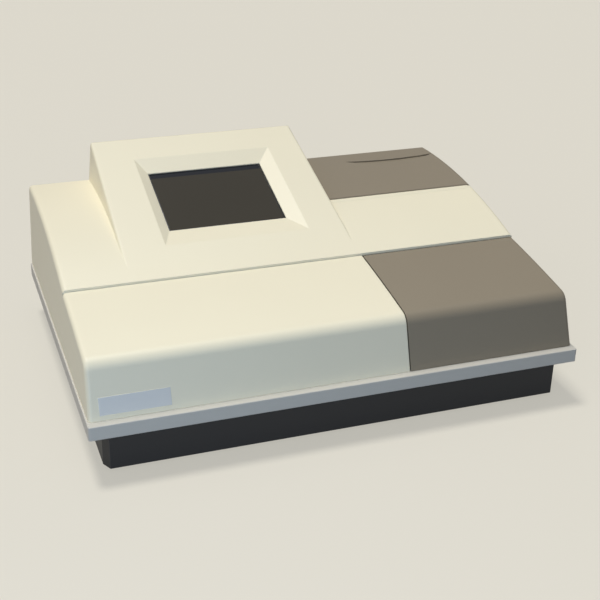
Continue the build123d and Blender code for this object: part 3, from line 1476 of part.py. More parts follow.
with BuildPart() as fan_guard:
    for radius in guard_radii:
        with BuildSketch(Plane.XZ.offset(-panel_rear_y)):
            with Locations((fan_x, fan_z)):
                Circle(radius + guard_wire / 2)
                Circle(radius - guard_wire / 2, mode=Mode.SUBTRACT)
        extrude(amount=-guard_wire)
    with BuildSketch(Plane.XZ.offset(-panel_rear_y)):
        with Locations((fan_x, fan_z)):
            Rectangle(guard_span, guard_wire, rotation=45)
            Rectangle(guard_span, guard_wire, rotation=-45)
    extrude(amount=-guard_wire)
save(fan_guard, "fan_guard")

port_flange_x = 15.4
port_flange_z = 6.2
port_flange = 1.0
port_body_depth = 8.0
port_shell = 2.6
port_wall = 1.0
port_recess = 3.0
usb_body_depth = 14.0
usb_past_panel = 1.0
usb_wall = 1.2
usb_recess = 8.0
port_in_x = port_half_x - slip_gap
port_in_z = port_half_z - slip_gap
usb_in_x = usb_half_x - slip_gap
usb_in_z = usb_half_z - slip_gap

with BuildPart() as serial_port:
    frame_slab(port_x, panel_rear_y, panel_rear_y + port_flange, port_z, port_flange_x, port_flange_z)
    frame_slab(port_x, panel_front_y - port_body_depth, panel_rear_y + port_shell, port_z, port_in_x, port_in_z)
    frame_slab(port_x, panel_rear_y - port_recess, panel_rear_y + port_shell, port_z, port_in_x - port_wall,
               port_in_z - port_wall, Mode.SUBTRACT)
save(serial_port, "serial_port")

with BuildPart() as usb_port:
    frame_slab(port_x, panel_front_y - usb_body_depth, panel_rear_y + usb_past_panel, usb_z, usb_in_x, usb_in_z)
    frame_slab(port_x, panel_rear_y - usb_recess, panel_rear_y + usb_past_panel, usb_z, usb_in_x - usb_wall,
               usb_in_z - usb_wall, Mode.SUBTRACT)
save(usb_port, "usb_port")
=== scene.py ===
"""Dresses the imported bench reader: finishes, small fittings, studio and camera."""

import json
import logging
import math
from contextlib import contextmanager
from dataclasses import dataclass
from enum import Enum
from typing import Callable, Iterator, Sequence

import bmesh
import bpy
from mathutils import Matrix, Vector


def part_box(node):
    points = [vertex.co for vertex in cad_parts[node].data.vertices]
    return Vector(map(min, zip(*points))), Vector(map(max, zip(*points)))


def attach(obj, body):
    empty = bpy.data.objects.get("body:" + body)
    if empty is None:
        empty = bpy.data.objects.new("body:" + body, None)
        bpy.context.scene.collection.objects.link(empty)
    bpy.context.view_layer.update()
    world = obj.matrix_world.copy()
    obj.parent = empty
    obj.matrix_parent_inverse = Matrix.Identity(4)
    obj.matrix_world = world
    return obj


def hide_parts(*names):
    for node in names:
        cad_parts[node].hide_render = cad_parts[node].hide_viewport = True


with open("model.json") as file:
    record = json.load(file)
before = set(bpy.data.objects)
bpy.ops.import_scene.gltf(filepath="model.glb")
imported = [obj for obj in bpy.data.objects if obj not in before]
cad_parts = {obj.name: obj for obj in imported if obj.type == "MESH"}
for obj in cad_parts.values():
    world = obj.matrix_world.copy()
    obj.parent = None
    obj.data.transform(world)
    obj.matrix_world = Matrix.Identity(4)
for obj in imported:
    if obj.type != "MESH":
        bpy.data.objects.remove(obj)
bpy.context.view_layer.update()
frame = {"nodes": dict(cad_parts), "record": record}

LOG = logging.getLogger("reader")


Colour = tuple[float, float, float]
Piece = bpy.types.Object
FaceTest = Callable[[Vector, Vector], bool]


class Surface(Enum):
    """How a finish is made."""

    MOULDED = "moulded"
    METAL = "metal"
    GLASS = "glass"
    BOARD = "board"
    SCREEN = "screen"


class Lay(Enum):
    """Direction in which a metal is ground or brushed, as a stretch of its grain."""

    NONE = (1.0, 1.0, 1.0)
    ALONG_X = (0.03, 1.0, 1.0)
    ALONG_Y = (1.0, 0.03, 1.0)
    ALONG_Z = (1.0, 1.0, 0.03)


class NodeTools:
    """Short ways to add and join shader nodes."""

    @staticmethod
    def group(name: str, inputs: Sequence[tuple], outputs: Sequence[tuple]) -> tuple:
        """Start a shader node group with named sockets.

        Args:
            name: Name of the group.
            inputs: Socket name, socket type and default value of each input.
            outputs: Socket name and socket type of each output.

        Returns:
            The tree, its input node and its output node.
        """
        tree = bpy.data.node_groups.new(name, "ShaderNodeTree")
        for label, kind, value in inputs:
            socket = tree.interface.new_socket(label, in_out="INPUT", socket_type=kind)
            socket.default_value = value
        for label, kind in outputs:
            tree.interface.new_socket(label, in_out="OUTPUT", socket_type=kind)
        return tree, tree.nodes.new("NodeGroupInput"), tree.nodes.new("NodeGroupOutput")

    @staticmethod
    def noise(tree: bpy.types.NodeTree, vector, scale: float, detail: float) -> bpy.types.Node:
        """Add a noise texture.

        Args:
            tree: Node tree to add to.
            vector: Socket that gives the place.
            scale: Cells per metre.
            detail: Octaves of detail.

        Returns:
            The noise node.
        """
        node = tree.nodes.new("ShaderNodeTexNoise")
        node.inputs["Scale"].default_value = scale
        node.inputs["Detail"].default_value = detail
        tree.links.new(vector, node.inputs["Vector"])
        return node

    @staticmethod
    def spread(tree: bpy.types.NodeTree, value, low, high) -> bpy.types.Node:
        """Map 0 to 1 onto a range, whose ends may be numbers or sockets.

        Args:
            tree: Node tree to add to.
            value: Socket with the value.
            low: Result at 0.
            high: Result at 1.

        Returns:
            The map range node.
        """
        node = tree.nodes.new("ShaderNodeMapRange")
        tree.links.new(value, node.inputs["Value"])
        for label, end in (("To Min", low), ("To Max", high)):
            if isinstance(end, (int, float)):
                node.inputs[label].default_value = end
            else:
                tree.links.new(end, node.inputs[label])
        return node

    @staticmethod
    def mix(tree: bpy.types.NodeTree, factor, first, second, blend: str = "MIX") -> bpy.types.Node:
        """Mix two colours, each a socket or a plain colour.

        Args:
            tree: Node tree to add to.
            factor: Socket or number that chooses the second colour.
            first: First colour.
            second: Second colour.
            blend: Blend type of the mix.

        Returns:
            The mix node, whose colour result is its output 2.
        """
        node = tree.nodes.new("ShaderNodeMix")
        node.data_type = "RGBA"
        node.blend_type = blend
        for index, value in ((0, factor), (6, first), (7, second)):
            if isinstance(value, bpy.types.NodeSocket):
                tree.links.new(value, node.inputs[index])
            elif isinstance(value, (int, float)):
                node.inputs[index].default_value = value
            else:
                node.inputs[index].default_value = (*value, 1.0)
        return node

    @staticmethod
    def calculate(tree: bpy.types.NodeTree, operation: str, *values,
                  clamp: bool = False) -> bpy.types.NodeSocket:
        """Calculate with numbers or sockets.

        Args:
            tree: Node tree to add to.
            operation: Operation of the maths node.
            values: Number or socket of each input.
            clamp: Whether the result is kept between 0 and 1.

        Returns:
            The socket with the result.
        """
        node = tree.nodes.new("ShaderNodeMath")
        node.operation = operation
        node.use_clamp = clamp
        for socket, value in zip(node.inputs, values):
            if isinstance(value, (int, float)):
                socket.default_value = value
            else:
                tree.links.new(value, socket)
        return node.outputs[0]

    @staticmethod
    def combine(tree: bpy.types.NodeTree, operation: str, first, second) -> bpy.types.Node:
        """Combine two vectors.

        Args:
            tree: Node tree to add to.
            operation: Operation of the vector maths node.
            first: Socket with the first vector.
            second: Second vector, as a socket or as a plain vector.

        Returns:
            The vector maths node.
        """
        node = tree.nodes.new("ShaderNodeVectorMath")
        node.operation = operation
        tree.links.new(first, node.inputs[0])
        if isinstance(second, bpy.types.NodeSocket):
            tree.links.new(second, node.inputs[1])
        else:
            node.inputs[1].default_value = second
        return node

    @staticmethod
    def place_group(tree: bpy.types.NodeTree, group: bpy.types.NodeTree, values: dict) -> bpy.types.Node:
        """Place a node group.

        Args:
            tree: Node tree to add to.
            group: The group.
            values: Value of each input that is set, by its name.

        Returns:
            The group node.
        """
        node = tree.nodes.new("ShaderNodeGroup")
        node.node_tree = group
        for label, value in values.items():
            node.inputs[label].default_value = value
        return node


class FinishGroups:
    """Shader node groups that several finishes share, each built once."""

    def __init__(self) -> None:
        """Build the groups."""
        self.grain = self.build_grain()
        self.edges = self.build_edges()
        self.dust = self.build_dust()

    def build_grain(self) -> bpy.types.NodeTree:
        """Build the fine texture and the slow change of tone of a surface.

        Returns:
            A group from colour, tone, cell counts, stretch and roughness to colour, roughness and height.
        """
        inputs = (("Colour", "NodeSocketColor", (0.8, 0.8, 0.8, 1.0)),
                  ("Tone", "NodeSocketFloat", 0.04),
                  ("Cells", "NodeSocketFloat", 900.0),
                  ("Stretch", "NodeSocketVector", (1.0, 1.0, 1.0)),
                  ("Roughness", "NodeSocketFloat", 0.5),
                  ("Roughness Spread", "NodeSocketFloat", 0.06))
        outputs = (("Colour", "NodeSocketColor"), ("Roughness", "NodeSocketFloat"),
                   ("Height", "NodeSocketFloat"))
        tree, start, end = NodeTools.group("surface_grain", inputs, outputs)
        place = tree.nodes.new("ShaderNodeTexCoord").outputs["Object"]
        stretched = NodeTools.combine(tree, "MULTIPLY", place, start.outputs["Stretch"])
        fine = NodeTools.noise(tree, stretched.outputs[0], 1.0, 3.0)
        tree.links.new(start.outputs["Cells"], fine.inputs["Scale"])
        slow = NodeTools.noise(tree, place, 9.0, 2.0)
        darker = NodeTools.calculate(tree, "SUBTRACT", 1.0, start.outputs["Tone"])
        colour = start.outputs["Colour"]
        for pattern in (slow, fine):
            level = NodeTools.spread(tree, pattern.outputs["Fac"], darker, 1.0)
            colour = NodeTools.mix(tree, 1.0, colour, level.outputs["Result"], "MULTIPLY").outputs[2]
        tree.links.new(colour, end.inputs["Colour"])
        swing = NodeTools.calculate(tree, "MULTIPLY_ADD", slow.outputs["Fac"],
                                    start.outputs["Roughness Spread"], start.outputs["Roughness"])
        tree.links.new(swing, end.inputs["Roughness"])
        tree.links.new(fine.outputs["Fac"], end.inputs["Height"])
        return tree

    def build_edges(self) -> bpy.types.NodeTree:
        """Build the soft edges of a moulding or a deburred metal part, with a mask of where they are.

        Returns:
            A group from radius and reach to mask and normal.
        """
        inputs = (("Radius", "NodeSocketFloat", 0.0006), ("Reach", "NodeSocketFloat", 6.0))
        outputs = (("Mask", "NodeSocketFloat"), ("Normal", "NodeSocketVector"))
        tree, start, end = NodeTools.group("soft_edges", inputs, outputs)
        rounded = tree.nodes.new("ShaderNodeBevel")
        rounded.samples = 4
        tree.links.new(start.outputs["Radius"], rounded.inputs["Radius"])
        plain = tree.nodes.new("ShaderNodeNewGeometry")
        match = NodeTools.combine(tree, "DOT_PRODUCT", rounded.outputs["Normal"], plain.outputs["Normal"])
        lack = NodeTools.calculate(tree, "SUBTRACT", 1.0, match.outputs["Value"])
        mask = NodeTools.calculate(tree, "MULTIPLY", lack, start.outputs["Reach"], clamp=True)
        tree.links.new(mask, end.inputs["Mask"])
        tree.links.new(rounded.outputs["Normal"], end.inputs["Normal"])
        return tree

    def build_dust(self) -> bpy.types.NodeTree:
        """Build the thin dust that settles on faces that look up.

        Returns:
            A group from colour, dust colour and amount to colour.
        """
        inputs = (("Colour", "NodeSocketColor", (0.1, 0.1, 0.1, 1.0)),
                  ("Dust", "NodeSocketColor", (0.45, 0.43, 0.40, 1.0)),
                  ("Amount", "NodeSocketFloat", 0.1))
        tree, start, end = NodeTools.group("settled_dust", inputs, (("Colour", "NodeSocketColor"),))
        place = tree.nodes.new("ShaderNodeTexCoord").outputs["Object"]
        facing = tree.nodes.new("ShaderNodeSeparateXYZ")
        tree.links.new(tree.nodes.new("ShaderNodeNewGeometry").outputs["Normal"], facing.inputs[0])
        upward = NodeTools.calculate(tree, "MULTIPLY", facing.outputs["Z"], start.outputs["Amount"],
                                     clamp=True)
        patchy = NodeTools.noise(tree, place, 60.0, 4.0)
        share = NodeTools.calculate(tree, "MULTIPLY", upward, patchy.outputs["Fac"])
        dusty = NodeTools.mix(tree, share, start.outputs["Colour"], start.outputs["Dust"])
        tree.links.new(dusty.outputs[2], end.inputs["Colour"])
        return tree


@dataclass(frozen=True)
class Finish:
    """One finish of the reader, with the sizes of its texture."""

    name: str
    surface: Surface
    colour: Colour
    roughness: float
    tone: float = 0.04
    cells: float = 900.0
    depth: float = 0.00006
    edge: float = 0.0006
    edge_colour: Colour | None = None
    dust: float = 0.0
    lay: Lay = Lay.NONE
    coat: float = 0.0
    glass_depth: float = 1.45

    def build(self, groups: FinishGroups) -> bpy.types.Material:
        """Make the material of this finish.

        Args:
            groups: The shared shader node groups.

        Returns:
            The finished material.
        """
        material = bpy.data.materials.new(self.name)
        material.use_nodes = True
        material.diffuse_color = (*self.colour, 1.0)
        tree = material.node_tree
        shader = tree.nodes["Principled BSDF"]
        shader.inputs["Metallic"].default_value = 1.0 if self.surface is Surface.METAL else 0.0
        grain = NodeTools.place_group(tree, groups.grain, {
            "Colour": (*self.colour, 1.0), "Tone": self.tone, "Cells": self.cells,
            "Stretch": self.lay.value, "Roughness": self.roughness})
        tree.links.new(grain.outputs["Roughness"], shader.inputs["Roughness"])
        colour = grain.outputs["Colour"]
        if self.surface is Surface.GLASS:
            shader.inputs["Transmission Weight"].default_value = 1.0
            shader.inputs["IOR"].default_value = self.glass_depth
        else:
            colour = self.add_edges(tree, shader, grain, colour, groups)
        if self.dust:
            settled = NodeTools.place_group(tree, groups.dust, {"Amount": self.dust})
            tree.links.new(colour, settled.inputs["Colour"])
            colour = settled.outputs["Colour"]
        if self.surface is Surface.SCREEN:
            colour = self.add_screen_strip(tree, colour)
        tree.links.new(colour, shader.inputs["Base Color"])
        shader.inputs["Coat Weight"].default_value = self.coat
        return material

    def add_edges(self, tree, shader, grain, colour, groups: FinishGroups):
        """Add the soft edges, the rubbed look along them and the fine relief.

        Args:
            tree: Node tree of the material.
            shader: Its Principled BSDF.
            grain: Its grain group node.
            colour: Socket with the colour so far.
            groups: The shared shader node groups.

        Returns:
            The socket with the colour after the edges.
        """
        soft = NodeTools.place_group(tree, groups.edges, {"Radius": self.edge})
        relief = tree.nodes.new("ShaderNodeBump")
        relief.inputs["Strength"].default_value = 0.5
        relief.inputs["Distance"].default_value = self.depth
        tree.links.new(grain.outputs["Height"], relief.inputs["Height"])
        tree.links.new(soft.outputs["Normal"], relief.inputs["Normal"])
        tree.links.new(relief.outputs["Normal"], shader.inputs["Normal"])
        if self.edge_colour is None:
            return colour
        rubbed = NodeTools.mix(tree, soft.outputs["Mask"], colour, self.edge_colour)
        return rubbed.outputs[2]

    def add_screen_strip(self, tree, colour):
        """Darken the strip along the upper edge of the screen, where the bezel shades it.

        Args:
            tree: Node tree of the material.
            colour: Socket with the colour so far.

        Returns:
            The socket with the colour after the strip.
        """
        place = tree.nodes.new("ShaderNodeTexCoord").outputs["Object"]
        height = NodeTools.combine(tree, "DOT_PRODUCT", place, ScreenUnit.up_slope)
        top = ScreenUnit.centre.dot(ScreenUnit.up_slope) + ScreenUnit.window_length / 2
        edge = tree.nodes.new("ShaderNodeMapRange")
        edge.inputs["From Min"].default_value = top - ScreenUnit.strip_length
        edge.inputs["From Max"].default_value = top - ScreenUnit.strip_length * ScreenUnit.strip_full
        tree.links.new(height.outputs["Value"], edge.inputs["Value"])
        strip = NodeTools.mix(tree, edge.outputs["Result"], colour, ScreenUnit.strip_colour)
        return strip.outputs[2]


class Palette:
    """All finishes by the record's slot names, and which node wears which."""

    finishes: tuple[Finish, ...] = (
        Finish("cream_plastic", Surface.MOULDED, (0.90, 0.84, 0.64), 0.46, 0.03, 1400.0, 0.00004, 0.0012),
        # rim_plastic is the cream cover's own plastic painted darker and greyer: painted shade of the
        # upright rim faces.
        Finish("rim_plastic", Surface.MOULDED, (0.58, 0.56, 0.50), 0.46, 0.03, 1400.0, 0.00004, 0.0009),
        Finish("grey_plastic", Surface.MOULDED, (0.285, 0.240, 0.170), 0.44, 0.05, 1400.0, 0.00004, 0.0010),
        Finish("base_plastic", Surface.MOULDED, (0.010, 0.011, 0.014), 0.55, 0.12, 700.0, 0.00012, 0.0007,
               (0.05, 0.05, 0.055)),
        Finish("foot_rubber", Surface.MOULDED, (0.018, 0.018, 0.018), 0.85, 0.15, 900.0, 0.0001, 0.0006,
               dust=0.2),
        Finish("steel", Surface.METAL, (0.60, 0.60, 0.61), 0.34, 0.10, 1500.0, 0.00003, 0.0003,
               (0.75, 0.75, 0.76), dust=0.06, lay=Lay.ALONG_X),
        Finish("screw_steel", Surface.METAL, (0.50, 0.50, 0.51), 0.30, 0.10, 2500.0, 0.00002, 0.0002,
               (0.7, 0.7, 0.7)),
        Finish("aluminium", Surface.METAL, (0.74, 0.74, 0.76), 0.32, 0.06, 1200.0, 0.00003, 0.0003,
               (0.86, 0.86, 0.88), lay=Lay.ALONG_X),
        Finish("black_aluminium", Surface.METAL, (0.055, 0.055, 0.062), 0.38, 0.10, 1600.0, 0.00003, 0.0003,
               (0.30, 0.30, 0.32), dust=0.03),
        Finish("rod_steel", Surface.METAL, (0.72, 0.72, 0.74), 0.16, 0.05, 1800.0, 0.00001, 0.0003,
               (0.85, 0.85, 0.86), lay=Lay.ALONG_Y),
        Finish("motor", Surface.METAL, (0.075, 0.075, 0.08), 0.42, 0.10, 900.0, 0.00005, 0.0004,
               (0.25, 0.25, 0.26), dust=0.05),
        Finish("belt_rubber", Surface.MOULDED, (0.022, 0.022, 0.024), 0.7, 0.2, 1200.0, 0.0001, 0.0002,
               dust=0.1),
        Finish("tray_plastic", Surface.MOULDED, (0.07, 0.07, 0.075), 0.5, 0.1, 900.0, 0.00008, 0.0005,
               dust=0.08),
        Finish("board_green", Surface.BOARD, (0.022, 0.16, 0.06), 0.32, 0.12, 500.0, 0.00003, 0.0002,
               (0.30, 0.33, 0.18), dust=0.05),
        Finish("chip_black", Surface.MOULDED, (0.02, 0.02, 0.022), 0.45, 0.1, 1500.0, 0.00003, 0.0002,
               dust=0.05),
        Finish("optic_glass", Surface.GLASS, (0.93, 0.97, 0.98), 0.02, 0.0),
        Finish("filter_glass", Surface.GLASS, (0.55, 0.35, 0.85), 0.04, 0.0, glass_depth=1.5),
        Finish("sensor", Surface.MOULDED, (0.03, 0.03, 0.05), 0.15, 0.05, 900.0, 0.00001, 0.0002, coat=0.5),
        Finish("fibre", Surface.MOULDED, (0.03, 0.03, 0.032), 0.4, 0.1, 900.0, 0.00003, 0.0002),
        Finish("ceramic_white", Surface.MOULDED, (0.80, 0.78, 0.72), 0.4, 0.05, 900.0, 0.00004, 0.0004),
        Finish("screen_glass", Surface.SCREEN, (0.050, 0.043, 0.029), 0.16, 0.02, 600.0, 0.000002, 0.0004),
        Finish("lcd_metal", Surface.METAL, (0.52, 0.52, 0.53), 0.35, 0.08, 1500.0, 0.00003, 0.0003),
        Finish("supply_case", Surface.METAL, (0.62, 0.62, 0.62), 0.36, 0.10, 1500.0, 0.00003, 0.0003,
               (0.75, 0.75, 0.75), dust=0.08, lay=Lay.ALONG_Y),
        Finish("black_plastic", Surface.MOULDED, (0.018, 0.018, 0.02), 0.35, 0.08, 1500.0, 0.00003, 0.0003),
        Finish("fan_plastic", Surface.MOULDED, (0.022, 0.022, 0.024), 0.42, 0.1, 1200.0, 0.00005, 0.0004,
               dust=0.15),
        Finish("brass", Surface.METAL, (0.72, 0.56, 0.28), 0.28, 0.08, 1500.0, 0.00002, 0.0002,
               (0.85, 0.72, 0.42)),
        Finish("film", Surface.MOULDED, (0.74, 0.74, 0.70), 0.34, 0.03, 600.0, 0.00001, 0.0002, coat=0.3),
        Finish("white_ink", Surface.MOULDED, (0.75, 0.75, 0.73), 0.5, 0.03, 900.0, 0.00001, 0.0001),
    )

    def __init__(self) -> None:
        """Build every material once."""
        groups = FinishGroups()
        self.materials = {finish.name: finish.build(groups) for finish in self.finishes}

    def wear(self, piece: Piece, name: str) -> None:
        """Put one finish on a piece, in every material slot that it has.

        Args:
            piece: The object to dress.
            name: Name of the finish.
        """
        if not piece.material_slots:
            piece.data.materials.append(self.materials[name])
        for slot in piece.material_slots:
            slot.material = self.materials[name]

    def dress_nodes(self) -> None:
        """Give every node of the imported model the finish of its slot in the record."""
        for entry in frame["record"]["subparts"]:
            self.wear(frame["nodes"][entry["node"]], entry["material_slot"])


class Workbench:
    """Modelling steps that every sub-assembly uses."""

    def __init__(self, palette: Palette) -> None:
        """Keep the finishes for dressing new pieces.

        Args:
            palette: The finishes.
        """
        self.palette = palette

    @staticmethod
    def pick(piece: Piece) -> None:
        """Select one piece alone and make it active."""
        bpy.ops.object.select_all(action="DESELECT")
        piece.select_set(True)
        bpy.context.view_layer.objects.active = piece

    @staticmethod
    def settle(piece: Piece) -> None:
        """Put a piece's place, turn and scale into its mesh."""
        Workbench.pick(piece)
        bpy.ops.object.transform_apply(location=True, rotation=True, scale=True)

    @staticmethod
    def block(name: str, low: Sequence[float], high: Sequence[float]) -> Piece:
        """Add a block between two corners.

        Args:
            name: Name of the piece.
            low: Lowest corner in metres.
            high: Highest corner in metres.

        Returns:
            The new piece.
        """
        bpy.ops.object.select_all(action="DESELECT")
        low, high = Vector(low), Vector(high)
        bpy.ops.mesh.primitive_cube_add(size=1.0, location=(low + high) / 2)
        piece = bpy.context.object
        piece.name = name
        piece.scale = high - low
        Workbench.settle(piece)
        return piece

    @staticmethod
    def barrel(name: str, start: Sequence[float], end: Sequence[float], radius: float,
               sides: int = 48) -> Piece:
        """Add a cylinder between two points.

        Args:
            name: Name of the piece.
            start: Centre of the first end.
            end: Centre of the second end.
            radius: Radius in metres.
            sides: Number of sides.

        Returns:
            The new piece.
        """
        bpy.ops.object.select_all(action="DESELECT")
        start, end = Vector(start), Vector(end)
        axis = end - start
        bpy.ops.mesh.primitive_cylinder_add(vertices=sides, radius=radius, depth=axis.length,
                                            location=(start + end) / 2,
                                            rotation=axis.to_track_quat("Z", "Y").to_euler())
        piece = bpy.context.object
        piece.name = name
        Workbench.settle(piece)
        return piece

    @staticmethod
    @contextmanager
    def chosen(piece: Piece, kind: str, test: Callable[..., bool]) -> Iterator[None]:
        """Work in edit mode on the elements of one kind that pass a test.

        Args:
            piece: The piece to edit.
            kind: FACE, EDGE or VERT.
            test: Takes an element and says whether it is chosen.
        """
        Workbench.pick(piece)
        bpy.ops.object.mode_set(mode="EDIT")
        bpy.ops.mesh.select_mode(type=kind)
        bpy.ops.mesh.select_all(action="DESELECT")
        bpy.ops.object.mode_set(mode="OBJECT")
        mesh = piece.data
        for element in {"FACE": mesh.polygons, "EDGE": mesh.edges, "VERT": mesh.vertices}[kind]:
            element.select = test(element)
        bpy.ops.object.mode_set(mode="EDIT")
        yield
        bpy.ops.object.mode_set(mode="OBJECT")

    @staticmethod
    def faces(piece: Piece, test: FaceTest):
        """Work in edit mode on the faces whose normal and centre pass a test."""
        return Workbench.chosen(piece, "FACE", lambda face: test(face.normal, face.center))

    @staticmethod
    def points(piece: Piece, test: Callable[[Vector], bool]):
        """Work in edit mode on the points whose place passes a test."""
        return Workbench.chosen(piece, "VERT", lambda point: test(point.co))

    @staticmethod
    def edges(piece: Piece, axis: Vector):
        """Work in edit mode on the edges that follow a unit vector."""
        def follows(edge: bpy.types.MeshEdge) -> bool:
            first, last = (piece.data.vertices[index].co for index in edge.vertices)
            return abs((last - first).normalized().dot(axis)) > 0.99

        return Workbench.chosen(piece, "EDGE", follows)

    @staticmethod
    def apply(piece: Piece) -> None:
        """Apply every modifier of a piece."""
        Workbench.pick(piece)
        for modifier in list(piece.modifiers):
            bpy.ops.object.modifier_apply(modifier=modifier.name)

    @staticmethod
    def soften(piece: Piece, width: float, segments: int = 2) -> None:
        """Round the sharp edges of a piece.

        Args:
            piece: The piece.
            width: Width of the rounding in metres.
            segments: Facets across it.
        """
        bevel = piece.modifiers.new("soften", "BEVEL")
        bevel.width = width
        bevel.segments = segments
        bevel.limit_method = "ANGLE"
        bevel.angle_limit = math.radians(35.0)
        Workbench.apply(piece)

    @staticmethod
    def cut(piece: Piece, tool: Piece) -> None:
        """Take the shape of a tool out of a piece and drop the tool.

        Args:
            piece: The piece that stays.
            tool: The shape that is cut away.
        """
        boolean = piece.modifiers.new("cut", "BOOLEAN")
        boolean.operation = "DIFFERENCE"
        boolean.solver = "EXACT"
        boolean.object = tool
        Workbench.apply(piece)
        bpy.data.objects.remove(tool)

    @staticmethod
    def copy(piece: Piece, change: Matrix) -> Piece:
        """Copy a piece with its own mesh to another place.

        Args:
            piece: The piece to copy.
            change: Transform from the first place to the new one.

        Returns:
            The copy.
        """
        twin = piece.copy()
        twin.data = piece.data.copy()
        twin.data.transform(change)
        bpy.context.collection.objects.link(twin)
        return twin

    @staticmethod
    def join(pieces: Sequence[Piece], name: str) -> Piece:
        """Join pieces into one.

        Args:
            pieces: What is joined.
            name: Name of the whole.

        Returns:
            The whole.
        """
        bpy.ops.object.select_all(action="DESELECT")
        for piece in pieces:
            piece.select_set(True)
        bpy.context.view_layer.objects.active = pieces[0]
        bpy.ops.object.join()
        pieces[0].name = name
        return pieces[0]

    def fit(self, piece: Piece, body: str, slot: str, finish: str | None = None,
            stands_for: Sequence[str] = ()) -> Piece:
        """Smooth, dress and mount a finished piece.

        Args:
            piece: The finished piece.
            body: Body that it rides on.
            slot: Record slot that it belongs to.
            finish: Name of its finish, where that isn't the slot's own.
            stands_for: Nodes that it replaces.

        Returns:
            The piece.
        """
        self.pick(piece)
        bpy.ops.object.shade_smooth_by_angle(angle=math.radians(32.0))
        self.palette.wear(piece, finish or slot)
        if stands_for:
            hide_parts(*stands_for)
        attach(piece, body)
        LOG.info("piece %s on %s, %d faces", piece.name, body, len(piece.data.polygons))
        return piece

    @staticmethod
    def solids(node: str) -> list[tuple[Vector, Vector]]:
        """Find the separate solids of a node.

        Args:
            node: Name of the node.

        Returns:
            The lowest and highest corner of each, in metres.
        """
        mesh = bmesh.new()
        mesh.from_mesh(frame["nodes"][node].data)
        bmesh.ops.remove_doubles(mesh, verts=mesh.verts, dist=0.00001)
        left = set(mesh.verts)
        boxes = []
        while left:
            queue = [left.pop()]
            island = list(queue)
            while queue:
                for edge in queue.pop().link_edges:
                    for vertex in edge.verts:
                        if vertex in left:
                            left.remove(vertex)
                            queue.append(vertex)
                            island.append(vertex)
            low = Vector(min(v.co[i] for v in island) for i in range(3))
            high = Vector(max(v.co[i] for v in island) for i in range(3))
            boxes.append((low, high))
        mesh.free()
        return sorted(boxes, key=lambda box: tuple(round(c, 4) for c in box[0]))


@dataclass
class FrontLabel:
    """Bare grey film on the sloping front, where such readers carry their printed label."""

    left: float = -0.2135
    right: float = -0.1535
    low: float = 0.0045
    high: float = 0.0195
    thickness: float = 0.0003
    lean: float = math.radians(18.6)
    foot: tuple[float, float] = (-0.1605, 0.0505)
    corner: float = 0.0015

    def build(self, bench: Workbench) -> None:
        """Model the film flat, stand it on the slope and mount it.

        Args:
            bench: The workbench.
        """
        bpy.ops.object.select_all(action="DESELECT")
        film = bench.block("label_film", (self.left, self.low, 0.0),
                           (self.right, self.high, self.thickness))
        with bench.faces(film, lambda normal, centre: normal.z > 0.5):
            bpy.ops.mesh.inset(thickness=self.corner / 3)
        bench.soften(film, self.thickness / 3)
        turn = Matrix.Rotation(math.pi / 2 - self.lean, 4, "X")
        film.data.transform(Matrix.Translation((0.0, self.foot[0], self.foot[1])) @ turn)
        bench.fit(film, "case", "rim_plastic", "film")


@dataclass
class ScreenUnit:
    """Gasket round the display and the place of its glass."""

    lean = math.radians(16.73)
    apex_y = -0.029
    apex_z = 0.1157
    bezel_x = -0.0475
    bezel_y = 0.06895
    window_shift_x = -0.00225
    window_shift_up = 0.0032
    window_width = 0.1165
    window_length = 0.0915
    strip_length = 0.0085
    strip_full = 0.8
    strip_colour = (0.018, 0.019, 0.022)
    across = Vector((1.0, 0.0, 0.0))
    up_slope = Vector((0.0, math.cos(lean), math.sin(lean)))
    outward = Vector((0.0, -math.sin(lean), math.cos(lean)))
    centre = (Vector((bezel_x, bezel_y, apex_z + (bezel_y - apex_y) * math.tan(lean)))
              + across * window_shift_x + up_slope * window_shift_up)
    panel_depth: float = 0.006
    rim_width: float = 0.0011
    rim_height: float = 0.0005
    slack: float = 0.0002

    def build(self, bench: Workbench) -> None:
        """Model the gasket as a flat ring and lay it on the glass.

        Args:
            bench: The workbench.
        """
        half_u = self.window_width / 2 - self.slack
        half_v = self.window_length / 2 - self.slack
        ring = bench.block("screen_gasket", (-half_u, -half_v, 0.0), (half_u, half_v, self.rim_height))
        hole = bench.block("hole", (-half_u + self.rim_width, -half_v + self.rim_width, -self.rim_height),
                           (half_u - self.rim_width, half_v - self.rim_width, 2 * self.rim_height))
        bench.cut(ring, hole)
        bench.soften(ring, self.rim_height / 3)
        turn = Matrix((self.across, self.up_slope, self.outward)).transposed().to_4x4()
        place = Matrix.Translation(self.centre - self.outward * self.panel_depth)
        ring.data.transform(place @ turn)
        bench.fit(ring, "case", "black_plastic")


